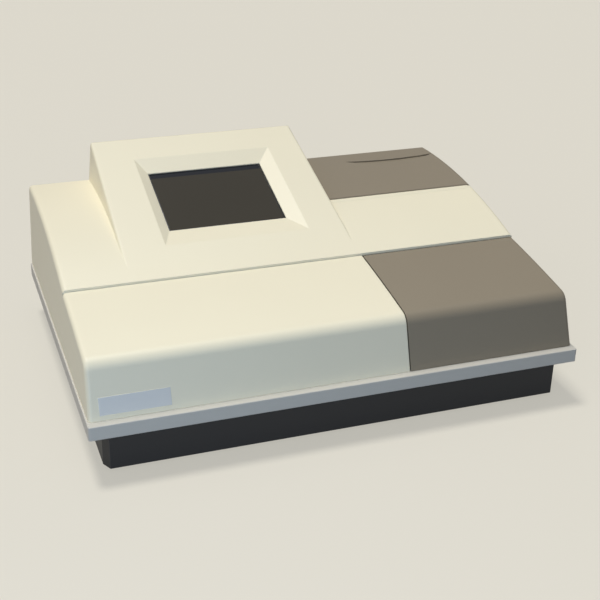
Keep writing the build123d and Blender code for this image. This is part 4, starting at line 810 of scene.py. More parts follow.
@dataclass
class Screws:
    """Pan-head screws with cross recesses, one at each solid of a screw node."""

    recess_arm: float = 0.62
    recess_width: float = 0.16
    recess_depth: float = 0.55
    dome_height: float = 0.45
    dome_width: float = 0.3
    shank_overlap: float = 0.2

    def build_head(self, bench: Workbench, start: Vector, axis: Vector, radius: float,
                   height: float) -> Piece:
        """Model one domed head with its cross recess.

        Args:
            bench: The workbench.
            start: Centre of the head's underside.
            axis: Unit vector out of the head.
            radius: Radius of the head.
            height: Height of the head.

        Returns:
            The head.
        """
        head = bench.barrel("head", start, start + axis * height, radius, 32)
        bevel_width = min(height * self.dome_height, radius * self.dome_width)
        bench.soften(head, bevel_width, 3)
        sideways = axis.orthogonal().normalized()
        top = start + axis * height
        for arm in (sideways, axis.cross(sideways)):
            other = axis.cross(arm)
            tool = bench.block("tool", (-radius * self.recess_arm, -radius * self.recess_width, 0.0),
                               (radius * self.recess_arm, radius * self.recess_width, height))
            turn = Matrix((arm, other, axis)).transposed().to_4x4()
            tool.data.transform(Matrix.Translation(top - axis * height * self.recess_depth) @ turn)
            bench.cut(head, tool)
        return head

    def build(self, bench: Workbench, node: str, name: str, axis: Vector, head_height: float,
              head_radius: float, shank_radius: float) -> None:
        """Model all the screws of one node.

        Args:
            bench: The workbench.
            node: Node with one solid for each screw.
            name: Name of the new piece.
            axis: Unit vector out of the heads.
            head_height: Height of a head.
            head_radius: Radius of a head.
            shank_radius: Radius of a shank.
        """
        parts = []
        for low, high in bench.solids(node):
            middle = (low + high) / 2
            reach = max(abs((high - low).dot(axis)) / 2, head_height)
            tip = middle - axis * reach
            under = middle + axis * (reach - head_height)
            neck = under + axis * head_height * self.shank_overlap
            parts.append(bench.barrel("shank", tip, neck, shank_radius, 20))
            parts.append(self.build_head(bench, under, axis, head_radius, head_height))
        whole = bench.join(parts, name)
        bench.fit(whole, "case", "screw_steel", stands_for=(node,))


@dataclass
class CoolingFan:
    """Fan rotor with pitched blades in place of the plain one."""

    hub_radius: float = 0.012
    blade_radius: float = 0.0268
    blade_count: int = 7
    blade_thickness: float = 0.0011
    blade_root: float = 0.0006
    blade_gap: float = 0.0016
    shaft_radius: float = 0.0015
    shaft_length: float = 0.0026
    pitch: float = math.radians(34.0)
    sweep: float = math.radians(16.0)
    cap_rounding: float = 0.0015
    cap_border: float = 0.16
    cap_step: float = 0.05
    cap_depth: float = 0.0004
    blade_cuts: int = 5
    blade_bow: float = 0.10
    blade_narrowing: float = 0.8

    def build(self, bench: Workbench) -> None:
        """Model one blade, copy it round the hub and mount the rotor.

        Args:
            bench: The workbench.
        """
        low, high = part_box("fan_rotor")
        low, high = Vector(low), Vector(high)
        centre = (low + high) / 2
        front = low.y + self.shaft_length
        back = high.y
        hub = bench.barrel("hub", (centre.x, front, centre.z), (centre.x, back, centre.z), self.hub_radius)
        with bench.faces(hub, lambda normal, middle: abs(normal.y) > 0.9):
            bpy.ops.mesh.inset(thickness=self.hub_radius * self.cap_border)
            bpy.ops.mesh.inset(thickness=self.hub_radius * self.cap_step, depth=-self.cap_depth)
        bench.soften(hub, self.cap_rounding / 3, 2)
        shaft = bench.barrel("shaft", (centre.x, low.y, centre.z), (centre.x, front + 0.001, centre.z),
                             self.shaft_radius, 24)
        depth = back - front - self.blade_gap
        length = self.blade_radius - self.hub_radius + 2 * self.blade_root
        blade = bench.block("blade", (-self.blade_thickness / 2, -depth / 2, 0.0),
                            (self.blade_thickness / 2, depth / 2, length))
        with bench.faces(blade, lambda normal, middle: True):
            bpy.ops.mesh.subdivide(number_cuts=self.blade_cuts)
        blade.data.transform(Matrix.Rotation(self.pitch, 4, "Z"))
        for vertex in blade.data.vertices:
            share = vertex.co.z / length
            turned = Matrix.Rotation(-self.sweep * share, 4, "Z") @ vertex.co
            lift = math.sin(share * math.pi / 2) * self.blade_radius * self.blade_bow
            vertex.co = Vector((turned.x + lift, turned.y * self.blade_narrowing, turned.z))
        blade.data.transform(Matrix.Translation((0.0, 0.0, self.hub_radius - self.blade_root)))
        blades = []
        for index in range(self.blade_count):
            turn = Matrix.Rotation(2 * math.pi * index / self.blade_count, 4, "Y")
            place = Matrix.Translation((centre.x, (front + back) / 2, centre.z))
            blades.append(bench.copy(blade, place @ turn))
        bpy.data.objects.remove(blade)
        rotor = bench.join([hub, shaft, *blades], "fan_impeller")
        bench.fit(rotor, "fan_rotor", "fan_plastic", stands_for=("fan_rotor",))


@dataclass
class ToothedBelt:
    """Toothed carrier belt in place of the plain one."""

    sides: int = 64
    web: float = 0.0009
    pitch: float = 0.0025
    tooth_width: float = 0.0013
    tooth_depth: float = 0.00055
    tooth_root: float = 0.2
    tooth_taper: float = 0.6

    def tooth_place(self, along: float, front: float, rear: float, height: float, radius: float) -> Matrix:
        """Give the place of a tooth on the inside of the loop.

        Args:
            along: Way along the loop from the front pulley's top.
            front: Front pulley's Y.
            rear: Rear pulley's Y.
            height: Z of both pulleys.
            radius: Radius of the loop's inside.

        Returns:
            Transform of a tooth that hangs at the origin.
        """
        run = rear - front
        bend = math.pi * radius
        if along < run:
            middle, turn = front + along, 0.0
        elif along < run + bend:
            middle, turn = rear, -(along - run) / radius
        elif along < 2 * run + bend:
            middle, turn = rear - (along - run - bend), -math.pi
        else:
            middle, turn = front, -math.pi - (along - 2 * run - bend) / radius
        lift = Matrix.Translation((0.0, 0.0, radius))
        return Matrix.Translation((0.0, middle, height)) @ Matrix.Rotation(turn, 4, "X") @ lift

    def build(self, bench: Workbench) -> None:
        """Model the band from a drawn-out ring, and set one tooth all along its inside.

        Args:
            bench: The workbench.
        """
        low, high = (Vector(corner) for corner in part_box("drive_belt"))
        radius = (high.z - low.z) / 2
        height = (high.z + low.z) / 2
        front = low.y + radius
        rear = high.y - radius
        band = bench.barrel("drive_belt_toothed", (low.x, front, height), (high.x, front, height), radius,
                            self.sides)
        centre = Matrix.Translation((0.0, front, height))
        half_step = Matrix.Rotation(math.pi / self.sides, 4, "X")
        band.data.transform(centre @ half_step @ centre.inverted())
        with bench.faces(band, lambda normal, middle: abs(normal.x) > 0.9):
            bpy.ops.mesh.delete(type="FACE")
        with bench.points(band, lambda place: place.y > front):
            bpy.ops.transform.translate(value=(0.0, rear - front, 0.0))
        wall = band.modifiers.new("wall", "SOLIDIFY")
        wall.thickness = self.web
        bench.apply(band)
        inside = radius - self.web
        tooth = bench.block("tooth", (low.x, -self.tooth_width / 2, -self.tooth_depth),
                            (high.x, self.tooth_width / 2, self.tooth_depth * self.tooth_root))
        with bench.faces(tooth, lambda normal, middle: normal.z < -0.5):
            bpy.ops.transform.resize(value=(1.0, self.tooth_taper, 1.0))
        length = 2 * (rear - front) + 2 * math.pi * inside
        count = round(length / self.pitch)
        teeth = [bench.copy(tooth, self.tooth_place(length * i / count, front, rear, height, inside))
                 for i in range(count)]
        bpy.data.objects.remove(tooth)
        bench.fit(bench.join([band, *teeth], band.name), "case", "belt_rubber", stands_for=("drive_belt",))


@dataclass
class StepperMotor:
    """Carrier motor: dark laminations between two cast end caps."""

    length: float = 0.038
    corner: float = 0.004
    cap_length: float = 0.009
    core_inset: float = 0.0007
    boss_radius: float = 0.011
    bore_radius: float = 0.00256
    screw_radius: float = 0.0024
    screw_inset: float = 0.0055
    bore_depth: float = 0.0145
    core_border: float = 0.0006
    core_step: float = 0.0003
    cap_rounding: float = 0.0005
    screw_height: float = 0.001
    screw_recess: float = 0.0001

    def build(self, bench: Workbench) -> None:
        """Model the core, the two caps, the boss with its bore and the screws.

        Args:
            bench: The workbench.
        """
        low, high = (Vector(corner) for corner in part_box("drive_motor"))
        front = high.x - self.length
        core = bench.block("motor_core",
                           (front + self.cap_length, low.y + self.core_inset, low.z + self.core_inset),
                           (high.x - self.cap_length, high.y - self.core_inset, high.z - self.core_inset))
        with bench.edges(core, Vector((1.0, 0.0, 0.0))):
            bpy.ops.mesh.bevel(offset=self.corner, segments=1)
        with bench.faces(core, lambda normal, middle: abs(normal.x) < 0.1):
            bpy.ops.mesh.inset(thickness=self.core_border, depth=-self.core_step, use_individual=False)
        bench.fit(core, "case", "motor")
        caps = []
        for start in (front, high.x - self.cap_length):
            cap = bench.block("cap", (start, low.y, low.z), (start + self.cap_length, high.y, high.z))
            with bench.edges(cap, Vector((1.0, 0.0, 0.0))):
                bpy.ops.mesh.bevel(offset=self.corner, segments=3)
            bench.soften(cap, self.cap_rounding, 1)
            caps.append(cap)
        middle_y = (low.y + high.y) / 2
        middle_z = (low.z + high.z) / 2
        boss = bench.barrel("boss", (low.x, middle_y, middle_z), (front + 0.001, middle_y, middle_z),
                            self.boss_radius, 64)
        caps.insert(0, boss)
        for side_y in (low.y + self.screw_inset, high.y - self.screw_inset):
            for side_z in (low.z + self.screw_inset, high.z - self.screw_inset):
                caps.append(bench.barrel("screw", (high.x - self.screw_height, side_y, side_z),
                                         (high.x - self.screw_recess, side_y, side_z),
                                         self.screw_radius, 20))
        whole = bench.join(caps, "motor_caps")
        bore = bench.barrel("bore", (low.x - 0.001, middle_y, middle_z),
                            (front + self.bore_depth, middle_y, middle_z), self.bore_radius, 32)
        bench.cut(whole, bore)
        bench.fit(whole, "case", "aluminium", stands_for=("drive_motor",))


@dataclass
class LampDetails:
    """Filament of the halogen bulb, hub of the filter wheel and cap nuts of the fibres."""

    wire_radius: float = 0.00014
    coil_radius: float = 0.0009
    coil_pitch: float = 0.0005
    coil_turns: int = 7
    coil_steps: int = 14
    post_share: float = 1.6
    hub_radius: float = 0.0052
    hub_length: float = 0.0032
    slot_half: float = 0.0004
    hub_border: float = 0.45
    hub_step: float = 0.05
    hub_depth: float = 0.0006
    rounding: float = 0.0003
    collar_height: float = 1.7
    collar_width: float = 0.62
    nut_radius: float = 0.0029
    nut_height: float = 0.0028
    channel_count: int = 12
    channel_pitch: float = 0.009

    def build_filament(self, bench: Workbench) -> None:
        """Wind the filament with a screw modifier and set it across the bulb on its two posts.

        Args:
            bench: The workbench.
        """
        low, high = (Vector(corner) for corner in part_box("lamp_bulb"))
        centre = (low + high) / 2
        bpy.ops.object.select_all(action="DESELECT")
        bpy.ops.mesh.primitive_circle_add(vertices=6, radius=self.wire_radius,
                                          location=(self.coil_radius, 0.0, 0.0),
                                          rotation=(math.pi / 2, 0.0, 0.0))
        coil = bpy.context.object
        coil.name = "lamp_filament"
        bench.settle(coil)
        winding = coil.modifiers.new("winding", "SCREW")
        winding.axis = "Z"
        winding.screw_offset = self.coil_pitch
        winding.iterations = self.coil_turns
        winding.steps = self.coil_steps
        winding.render_steps = self.coil_steps
        bench.apply(coil)
        length = self.coil_pitch * self.coil_turns
        turn = Matrix.Rotation(math.pi / 2, 4, "Y")
        coil.data.transform(Matrix.Translation((centre.x - length / 2, centre.y, centre.z)) @ turn)
        posts = [bench.barrel("post", (centre.x + side * length / 2, high.y, centre.z),
                              (centre.x + side * length / 2, centre.y, centre.z),
                              self.wire_radius * self.post_share, 10)
                 for side in (-1, 1)]
        bench.fit(bench.join([coil, *posts], coil.name), "case", "screw_steel")

    def build_hub(self, bench: Workbench) -> None:
        """Model the clamp hub that holds the wheel on its shaft.

        Args:
            bench: The workbench.
        """
        low, high = (Vector(corner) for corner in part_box("filter_wheel"))
        centre = (low + high) / 2
        hub = bench.barrel("wheel_hub", (centre.x, high.y, centre.z),
                           (centre.x, high.y + self.hub_length, centre.z), self.hub_radius, 48)
        with bench.faces(hub, lambda normal, middle: normal.y > 0.9):
            bpy.ops.mesh.inset(thickness=self.hub_radius * self.hub_border)
            bpy.ops.mesh.inset(thickness=self.hub_radius * self.hub_step, depth=-self.hub_depth)
        bench.soften(hub, self.rounding, 2)
        slot = bench.block("slot", (centre.x - self.slot_half, high.y - 0.001, centre.z),
                           (centre.x + self.slot_half, high.y + 2 * self.hub_length,
                            centre.z + 2 * self.hub_radius))
        bench.cut(hub, slot)
        bench.fit(hub, "filter_wheel", "aluminium")

    def build_nuts(self, bench: Workbench) -> None:
        """Set a cap nut round each fibre on the optics head.

        Args:
            bench: The workbench.
        """
        low, high = (Vector(corner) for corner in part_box("optics_head"))
        middle_x = (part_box("head_lenses")[0][0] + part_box("head_lenses")[1][0]) / 2
        middle_y = (low.y + high.y) / 2
        nut = bench.barrel("nut", (0.0, 0.0, 0.0), (0.0, 0.0, self.nut_height), self.nut_radius, 6)
        collar = bench.barrel("collar", (0.0, 0.0, 0.0), (0.0, 0.0, self.nut_height * self.collar_height),
                              self.nut_radius * self.collar_width, 24)
        for part in (nut, collar):
            bench.soften(part, self.rounding, 2)
        nut = bench.join([nut, collar], "nut")
        nuts = []
        for index in range(self.channel_count):
            x = middle_x + (index - (self.channel_count - 1) / 2) * self.channel_pitch
            nuts.append(bench.copy(nut, Matrix.Translation((x, middle_y, high.z))))
        bpy.data.objects.remove(nut)
        bench.fit(bench.join(nuts, "fibre_nuts"), "case", "brass")

    def build(self, bench: Workbench) -> None:
        """Build the three kinds of fittings.

        Args:
            bench: The workbench.
        """
        self.build_filament(bench)
        self.build_hub(bench)
        self.build_nuts(bench)


@dataclass
class RearSockets:
    """Pins, contacts and marks of the sockets and the switch in the rear panel."""

    pin_pitch: float = 0.00277
    pin_rows: tuple[tuple[int, float], ...] = ((5, 0.00142), (4, -0.00142))
    pin_radius: float = 0.0005
    pocket_depth: float = 0.0056
    pin_recess: float = 0.0012
    post_recess: float = 0.0018
    post_offset: float = 0.0125
    post_radius: float = 0.0025
    post_length: float = 0.002
    tongue: tuple[float, float] = (0.0028, 0.0016)
    tongue_root: float = 0.009
    tongue_recess: float = 0.0018
    contact_recess: float = 0.0026
    contact_half: tuple[float, float] = (0.0005, 0.00012)
    rocker_tilt: float = math.radians(12.0)
    rocker_pivot_y: float = 0.162
    mark_place: float = 0.0041
    mark_lift: float = 0.00343
    mark_lean: float = math.radians(3.2)
    mark_radius: float = 0.0016
    mark_hole: float = 0.0011
    mark_half_width: float = 0.0003
    mark_half_depth: float = 0.00005

    def build_serial(self, bench: Workbench) -> None:
        """Model the nine pins and the two hexagonal posts.

        Args:
            bench: The workbench.
        """
        low, high = (Vector(corner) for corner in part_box("serial_port"))
        middle_x = (low.x + high.x) / 2
        middle_z = (low.z + high.z) / 2
        pins = []
        for count, rise in self.pin_rows:
            for index in range(count):
                x = middle_x + (index - (count - 1) / 2) * self.pin_pitch
                pin = bench.barrel("pin", (x, high.y - self.pocket_depth, middle_z + rise),
                                   (x, high.y - self.pin_recess, middle_z + rise), self.pin_radius, 12)
                bench.soften(pin, self.pin_radius * 0.5, 2)
                pins.append(pin)
        bench.fit(bench.join(pins, "serial_pins"), "case", "brass")
        posts = []
        for side in (-1, 1):
            x = middle_x + side * self.post_offset
            foot_y = high.y - self.post_recess
            post = bench.barrel("post", (x, foot_y, middle_z), (x, foot_y + self.post_length, middle_z),
                                self.post_radius, 6)
            hole = bench.barrel("hole", (x, high.y - 0.001, middle_z), (x, high.y + 0.004, middle_z),
                                self.post_radius * 0.5, 20)
            bench.cut(post, hole)
            bench.soften(post, 0.0002, 1)
            posts.append(post)
        bench.fit(bench.join(posts, "serial_posts"), "case", "screw_steel")

    def build_usb(self, bench: Workbench) -> None:
        """Model the tongue of the square port with its four contacts.

        Args:
            bench: The workbench.
        """
        low, high = (Vector(corner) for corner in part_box("usb_port"))
        middle_x = (low.x + high.x) / 2
        middle_z = (low.z + high.z) / 2
        half_x, half_z = self.tongue
        root_y = high.y - self.tongue_root
        tongue = bench.block("usb_tongue", (middle_x - half_x, root_y, middle_z - half_z),
                             (middle_x + half_x, high.y - self.tongue_recess, middle_z + half_z))
        bench.soften(tongue, 0.0004, 2)
        bench.fit(tongue, "case", "ceramic_white")
        wide, thick = self.contact_half
        contacts = []
        for side_x in (-0.5, 0.5):
            for side_z in (-1, 1):
                x = middle_x + side_x * half_x
                z = middle_z + side_z * half_z
                contact = bench.block("contact", (x - wide, root_y, z - thick),
                                      (x + wide, high.y - self.contact_recess, z + thick))
                bench.soften(contact, 0.00005, 1)
                contacts.append(contact)
        bench.fit(bench.join(contacts, "usb_contacts"), "case", "brass")

    def build_marks(self, bench: Workbench) -> None:
        """Lay the bar and the ring, the usual on and off marks, on the rocker's two halves.

        Args:
            bench: The workbench.
        """
        low, high = (Vector(corner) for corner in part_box("power_rocker"))
        middle_x = (low.x + high.x) / 2
        middle_z = (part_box("switch_frame")[0][2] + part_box("switch_frame")[1][2]) / 2
        wide, deep = self.mark_half_width, self.mark_half_depth
        bar = bench.block("bar", (-wide, -deep, -self.mark_radius), (wide, deep, self.mark_radius))
        bench.soften(bar, 0.00003, 1)
        ring = bench.barrel("ring", (0.0, -deep, 0.0), (0.0, deep, 0.0), self.mark_radius, 40)
        bench.cut(ring, bench.barrel("hole", (0.0, -0.001, 0.0), (0.0, 0.001, 0.0), self.mark_hole, 40))
        pivot = Matrix.Translation((middle_x, self.rocker_pivot_y, middle_z))
        for mark, side in ((bar, 1), (ring, -1)):
            lean = Matrix.Rotation(-side * self.mark_lean, 4, "X")
            lift = Matrix.Translation((0.0, self.mark_lift, side * self.mark_place))
            mark.data.transform(pivot @ Matrix.Rotation(self.rocker_tilt, 4, "X") @ lift @ lean)
        marks = bench.join([bar, ring], "switch_marks")
        bench.fit(marks, "power_rocker", "black_plastic", "white_ink")

    def build(self, bench: Workbench) -> None:
        """Build the fittings of the ports and the switch.

        Args:
            bench: The workbench.
        """
        self.build_serial(bench)
        self.build_usb(bench)
        self.build_marks(bench)


@dataclass
class FanGuard:
    """Wire finger guard in place of the flat rings."""

    radii: tuple[float, ...] = (0.010, 0.018, 0.026)
    wire: float = 0.0007
    reach: float = 0.0268

    def build(self, bench: Workbench) -> None:
        """Model the rings and the crossed wires behind them.

        Args:
            bench: The workbench.
        """
        low, high = (Vector(corner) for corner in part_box("fan_guard"))
        centre = (low + high) / 2
        wires = []
        for radius in self.radii:
            bpy.ops.object.select_all(action="DESELECT")
            bpy.ops.mesh.primitive_torus_add(location=centre, rotation=(math.pi / 2, 0.0, 0.0),
                                             major_segments=64, minor_segments=10,
                                             major_radius=radius, minor_radius=self.wire)
            bench.settle(bpy.context.object)
            wires.append(bpy.context.object)
        for angle in (math.pi / 4, -math.pi / 4):
            reach = Vector((math.cos(angle), 0.0, math.sin(angle))) * self.reach
            wires.append(bench.barrel("wire", centre - reach, centre + reach, self.wire, 12))
        bench.fit(bench.join(wires, "fan_wires"), "case", "rod_steel", stands_for=("fan_guard",))


@dataclass
class Feet:
    """Rubber feet with a hollow underside."""

    plug_radius: float = 0.004
    shoulder: float = 0.003
    rim: float = 0.0022
    hollow: float = 0.0009
    hollow_step: float = 0.0004
    seat_share: float = 0.35
    seat_step: float = 0.0003
    seat_depth: float = 0.8
    plug_start: float = 0.9
    rounding: float = 0.0003

    def build(self, bench: Workbench) -> None:
        """Model a foot at each solid of the node.

        Args:
            bench: The workbench.
        """
        feet = []
        for low, high in bench.solids("rubber_feet"):
            centre = (low + high) / 2
            radius = (high.x - low.x) / 2
            foot = bench.barrel("foot", (centre.x, centre.y, low.z),
                                (centre.x, centre.y, low.z + self.shoulder), radius, 48)
            with bench.faces(foot, lambda normal, middle: normal.z < -0.9):
                bpy.ops.mesh.inset(thickness=self.rim)
                bpy.ops.mesh.inset(thickness=self.hollow_step, depth=-self.hollow)
                bpy.ops.mesh.inset(thickness=radius * self.seat_share)
                bpy.ops.mesh.inset(thickness=self.seat_step, depth=-self.hollow * self.seat_depth)
            bench.soften(foot, self.rounding, 2)
            feet.append(foot)
            feet.append(bench.barrel("plug", (centre.x, centre.y, low.z + self.shoulder * self.plug_start),
                                     (centre.x, centre.y, high.z), self.plug_radius, 32))
        bench.fit(bench.join(feet, "feet"), "case", "foot_rubber", stands_for=("rubber_feet",))


@dataclass
class BoardParts:
    """Chips, heat sink, converter and headers on the main board."""

    chip_height: float = 0.0035
    pin_pitch: float = 0.00127
    pin_width: float = 0.00045
    pin_reach: float = 0.0014
    stand_off: float = 0.0004
    pin_thickness: float = 0.0002
    dot_inset: float = 0.0035
    dot_radius: float = 0.0008
    fin_count: int = 8
    header_wall: float = 0.001
    header_pitch: float = 0.00254
    header_pin_half: float = 0.0003
    header_end: float = 0.006
    header_depth: float = 0.010
    header_pin_recess: float = 0.002
    sink_height: float = 0.010
    sink_base: float = 0.002
    fin_root: float = 0.0015
    fin_span: tuple[float, float] = (0.3, 0.7)

    def build_chip(self, bench: Workbench, low: Vector, high: Vector) -> tuple[Piece, list[Piece]]:
        """Model one flat chip and the pins on its two long sides.

        Args:
            bench: The workbench.
            low: Lowest corner of its place.
            high: Highest corner of its place.

        Returns:
            Its body and its pins.
        """
        body = bench.block("body", (low.x + self.pin_reach, low.y + self.pin_reach, low.z + self.stand_off),
                           (high.x - self.pin_reach, high.y - self.pin_reach, high.z))
        with bench.faces(body, lambda normal, middle: normal.z > 0.9):
            bpy.ops.mesh.inset(thickness=0.0006)
        dot_x, dot_y = low.x + self.dot_inset, high.y - self.dot_inset
        dot = bench.barrel("dot", (dot_x, dot_y, high.z - 0.0002), (dot_x, dot_y, high.z + 0.001),
                           self.dot_radius, 20)
        bench.cut(body, dot)
        bench.soften(body, 0.0002, 1)
        pins = []
        count = int((high.y - low.y - 4 * self.pin_reach) / self.pin_pitch)
        first = (low.y + high.y) / 2 - (count - 1) * self.pin_pitch / 2
        shin = bench.block("pin", (0.0, -self.pin_width / 2, 0.0),
                           (self.pin_reach, self.pin_width / 2, self.pin_thickness))
        with bench.faces(shin, lambda normal, middle: normal.x > 0.9):
            bpy.ops.transform.translate(value=(0.0, 0.0, (high.z - low.z) * 0.35))
        for index in range(count):
            for side in (1, -1):
                x = low.x if side == 1 else high.x
                turn = Matrix.Identity(4) if side == 1 else Matrix.Rotation(math.pi, 4, "Z")
                place = Matrix.Translation((x, first + index * self.pin_pitch, low.z))
                pins.append(bench.copy(shin, place @ turn))
        bpy.data.objects.remove(shin)
        return body, pins

    def build_header(self, bench: Workbench, low: Vector, high: Vector) -> tuple[Piece, list[Piece]]:
        """Model one shrouded header and its two rows of pins.

        Args:
            bench: The workbench.
            low: Lowest corner of its place.
            high: Highest corner of its place.

        Returns:
            Its shroud and its pins.
        """
        shroud = bench.block("shroud", low, high)
        hollow = bench.block("hollow", low + Vector((self.header_wall, self.header_wall, self.header_wall)),
                             high + Vector((-self.header_wall, -self.header_wall, self.header_wall)))
        bench.cut(shroud, hollow)
        bench.soften(shroud, 0.0003, 1)
        count = int((high.x - low.x - self.header_end) / self.header_pitch)
        middle_x = (low.x + high.x) / 2
        middle_y = (low.y + high.y) / 2
        half = self.header_pin_half
        pins = []
        for index in range(count):
            x = middle_x + (index - (count - 1) / 2) * self.header_pitch
            for y in (middle_y - self.header_pitch / 2, middle_y + self.header_pitch / 2):
                pins.append(bench.block("pin", (x - half, y - half, low.z + self.header_wall),
                                        (x + half, y + half, high.z - self.header_pin_recess)))
        return shroud, pins

    def build_sink(self, bench: Workbench, low: Vector, high: Vector) -> Piece:
        """Model the finned heat sink.

        Args:
            bench: The workbench.
            low: Lowest corner of its place.
            high: Highest corner of its place.

        Returns:
            The heat sink.
        """
        sink = bench.block("board_sink", low, (high.x, high.y, low.z + self.sink_base))
        step = (high.x - low.x) / self.fin_count
        start, end = self.fin_span
        fins = [bench.block("fin", (low.x + step * (index + start), low.y, low.z + self.fin_root),
                            (low.x + step * (index + end), high.y, high.z))
                for index in range(self.fin_count)]
        for fin in fins:
            bench.soften(fin, 0.0002, 1)
        return bench.join([sink, *fins], "board_sink")

    def build(self, bench: Workbench) -> None:
        """Model each component by the height and width of its solid.

        Args:
            bench: The workbench.
        """
        bodies, pins = [], []
        for low, high in bench.solids("board_components"):
            size = high - low
            if size.z < self.chip_height:
                body, more = self.build_chip(bench, low, high)
            elif size.y < self.header_depth:
                body, more = self.build_header(bench, low, high)
            elif size.z > self.sink_height:
                body, more = bench.block("converter", low, high), []
                bench.soften(body, 0.0015, 3)
            else:
                bench.fit(self.build_sink(bench, low, high), "case", "black_aluminium")
                continue
            bodies.append(body)
            pins.extend(more)
        bodies = bench.join(bodies, "board_bodies")
        bench.fit(bodies, "case", "chip_black", stands_for=("board_components",))
        bench.fit(bench.join(pins, "board_pins"), "case", "screw_steel")


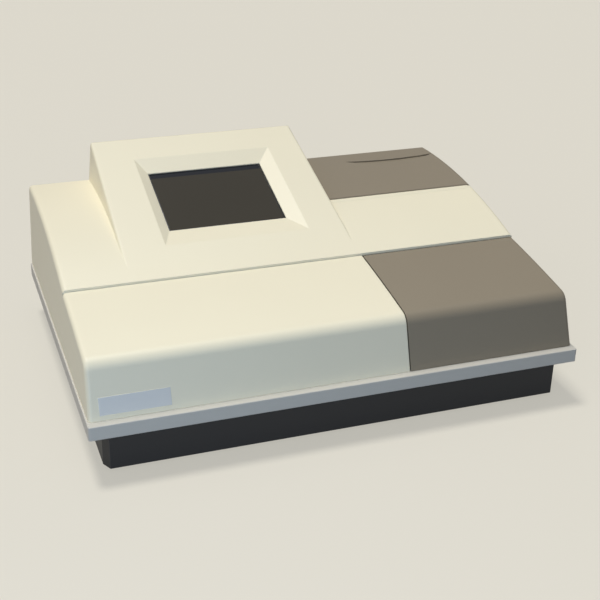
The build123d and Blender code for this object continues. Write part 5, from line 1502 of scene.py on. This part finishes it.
@dataclass
class Studio:
    """Floor, lamps, world and the photograph's camera."""

    floor_size: float = 14.0
    floor_colour: Colour = (0.730, 0.701, 0.617)
    bounce_colour: Colour = (0.16, 0.17, 0.19)
    glow: float = 0.62
    camera_place: Vector = Vector((-0.3379, -0.9720, 0.5600))
    camera_right: Vector = Vector((0.94346, -0.33088, 0.02036))
    camera_up: Vector = Vector((0.12875, 0.42232, 0.89726))
    lens: float = 70.26
    sensor: float = 36.0
    sky_colour: Colour = (0.80, 0.86, 1.0)
    sky_strength: float = 0.26
    sun_distance: float = 2.0
    aim: Vector = Vector((0.0, 0.0, 0.08))
    clip: tuple[float, float] = (0.01, 60.0)

    def build_floor(self) -> None:
        """Lay the pale floor, which keeps the shadow and shows its own colour to the camera."""
        bpy.ops.object.select_all(action="DESELECT")
        bpy.ops.mesh.primitive_plane_add(size=self.floor_size, location=(0.0, 0.0, 0.0))
        floor = bpy.context.object
        floor.name = "floor"
        floor.data.materials.append(self.build_floor_finish())

    def build_floor_finish(self) -> bpy.types.Material:
        """Make the floor pale to the camera, glass and metal, and darker where it lights the reader.

        Returns:
            The floor's material.
        """
        material = bpy.data.materials.new("floor")
        material.use_nodes = True
        tree = material.node_tree
        shader = tree.nodes["Principled BSDF"]
        shader.inputs["Roughness"].default_value = 0.9
        shader.inputs["Specular IOR Level"].default_value = 0.1
        rays = tree.nodes.new("ShaderNodeLightPath")
        seen = rays.outputs["Is Camera Ray"]
        for label in ("Is Glossy Ray", "Is Transmission Ray"):
            seen = NodeTools.calculate(tree, "MAXIMUM", seen, rays.outputs[label])
        lit = tuple(part * (1.0 - self.glow) for part in self.floor_colour)
        shade = NodeTools.mix(tree, seen, self.bounce_colour, lit)
        tree.links.new(shade.outputs[2], shader.inputs["Base Color"])
        glow = NodeTools.mix(tree, seen, (0.0, 0.0, 0.0), self.floor_colour)
        tree.links.new(glow.outputs[2], shader.inputs["Emission Color"])
        shader.inputs["Emission Strength"].default_value = self.glow
        return material

    def build_world(self) -> None:
        """Set a plain, slightly blue world, which shows beyond the floor's edge."""
        world = bpy.data.worlds.new("studio")
        bpy.context.scene.world = world
        world.use_nodes = True
        background = world.node_tree.nodes["Background"]
        background.inputs["Color"].default_value = (*self.sky_colour, 1.0)
        background.inputs["Strength"].default_value = self.sky_strength

    def add_sun(self, name: str, toward: Vector, strength: float, colour: Colour, spread: float) -> None:
        """Add one soft distant lamp.

        Args:
            name: Name of the lamp.
            toward: Direction from the object to the lamp.
            strength: Irradiance in W/m2.
            colour: Its colour.
            spread: Angular size in degrees, which softens its shadows.
        """
        bpy.ops.object.select_all(action="DESELECT")
        bpy.ops.object.light_add(type="SUN", location=toward * self.sun_distance)
        lamp = bpy.context.object
        lamp.name = name
        lamp.rotation_euler = toward.to_track_quat("Z", "Y").to_euler()
        lamp.data.energy = strength
        lamp.data.color = colour
        lamp.data.angle = math.radians(spread)

    def add_window(self, name: str, place: Vector, power: float, colour: Colour, size: float) -> None:
        """Add one near soft lamp that looks at the reader.

        Args:
            name: Name of the lamp.
            place: Where it hangs, in metres.
            power: Power in watts.
            colour: Its colour.
            size: Side of its square face in metres.
        """
        bpy.ops.object.select_all(action="DESELECT")
        bpy.ops.object.light_add(type="AREA", location=place)
        lamp = bpy.context.object
        lamp.name = name
        lamp.rotation_euler = (place - self.aim).to_track_quat("Z", "Y").to_euler()
        lamp.data.energy = power
        lamp.data.color = colour
        lamp.data.size = size

    def build_lamps(self) -> None:
        """Hang the warm key above and behind, the cool front fill and the warm left fill."""
        self.add_sun("key", toward=Vector((-0.12, 0.30, 1.0)).normalized(), strength=2.35,
                     colour=(1.0, 0.97, 0.91), spread=14.0)
        self.add_window("front_window", place=Vector((-0.55, -1.05, 0.32)), power=4.8,
                        colour=(0.60, 0.77, 1.0), size=0.6)
        self.add_sun("left_fill", toward=Vector((-1.0, 0.10, 0.30)).normalized(), strength=0.25,
                     colour=(1.0, 0.72, 0.42), spread=50.0)

    def build_camera(self) -> None:
        """Set the camera where the photograph was taken from."""
        bpy.ops.object.select_all(action="DESELECT")
        bpy.ops.object.camera_add()
        camera = bpy.context.object
        forward = self.camera_up.cross(self.camera_right)
        turn = Matrix((self.camera_right, self.camera_up, -forward)).transposed().to_4x4()
        camera.matrix_world = Matrix.Translation(self.camera_place) @ turn
        camera.data.lens = self.lens
        camera.data.sensor_width = self.sensor
        camera.data.clip_start, camera.data.clip_end = self.clip
        bpy.context.scene.camera = camera

    def build(self) -> None:
        """Set up floor, world, lamps, camera and view transform."""
        self.build_floor()
        self.build_world()
        self.build_lamps()
        self.build_camera()
        bpy.context.scene.view_settings.view_transform = "Standard"


def main() -> None:
    """Dress the reader and set up the studio."""
    logging.basicConfig(level=logging.INFO, format="%(name)s: %(message)s")
    palette = Palette()
    palette.dress_nodes()
    bench = Workbench(palette)
    FrontLabel().build(bench)
    ScreenUnit().build(bench)
    screws = Screws()
    screws.build(bench, "base_screws", "case_screws", Vector((0.0, 0.0, -1.0)),
                 head_height=0.0026, head_radius=0.00375, shank_radius=0.002)
    screws.build(bench, "cover_screws", "rear_screws", Vector((0.0, 1.0, 0.0)),
                 head_height=0.0016, head_radius=0.00275, shank_radius=0.0015)
    CoolingFan().build(bench)
    FanGuard().build(bench)
    RearSockets().build(bench)
    ToothedBelt().build(bench)
    StepperMotor().build(bench)
    LampDetails().build(bench)
    BoardParts().build(bench)
    Feet().build(bench)
    Studio().build()


if __name__ == "__main__":
    main()
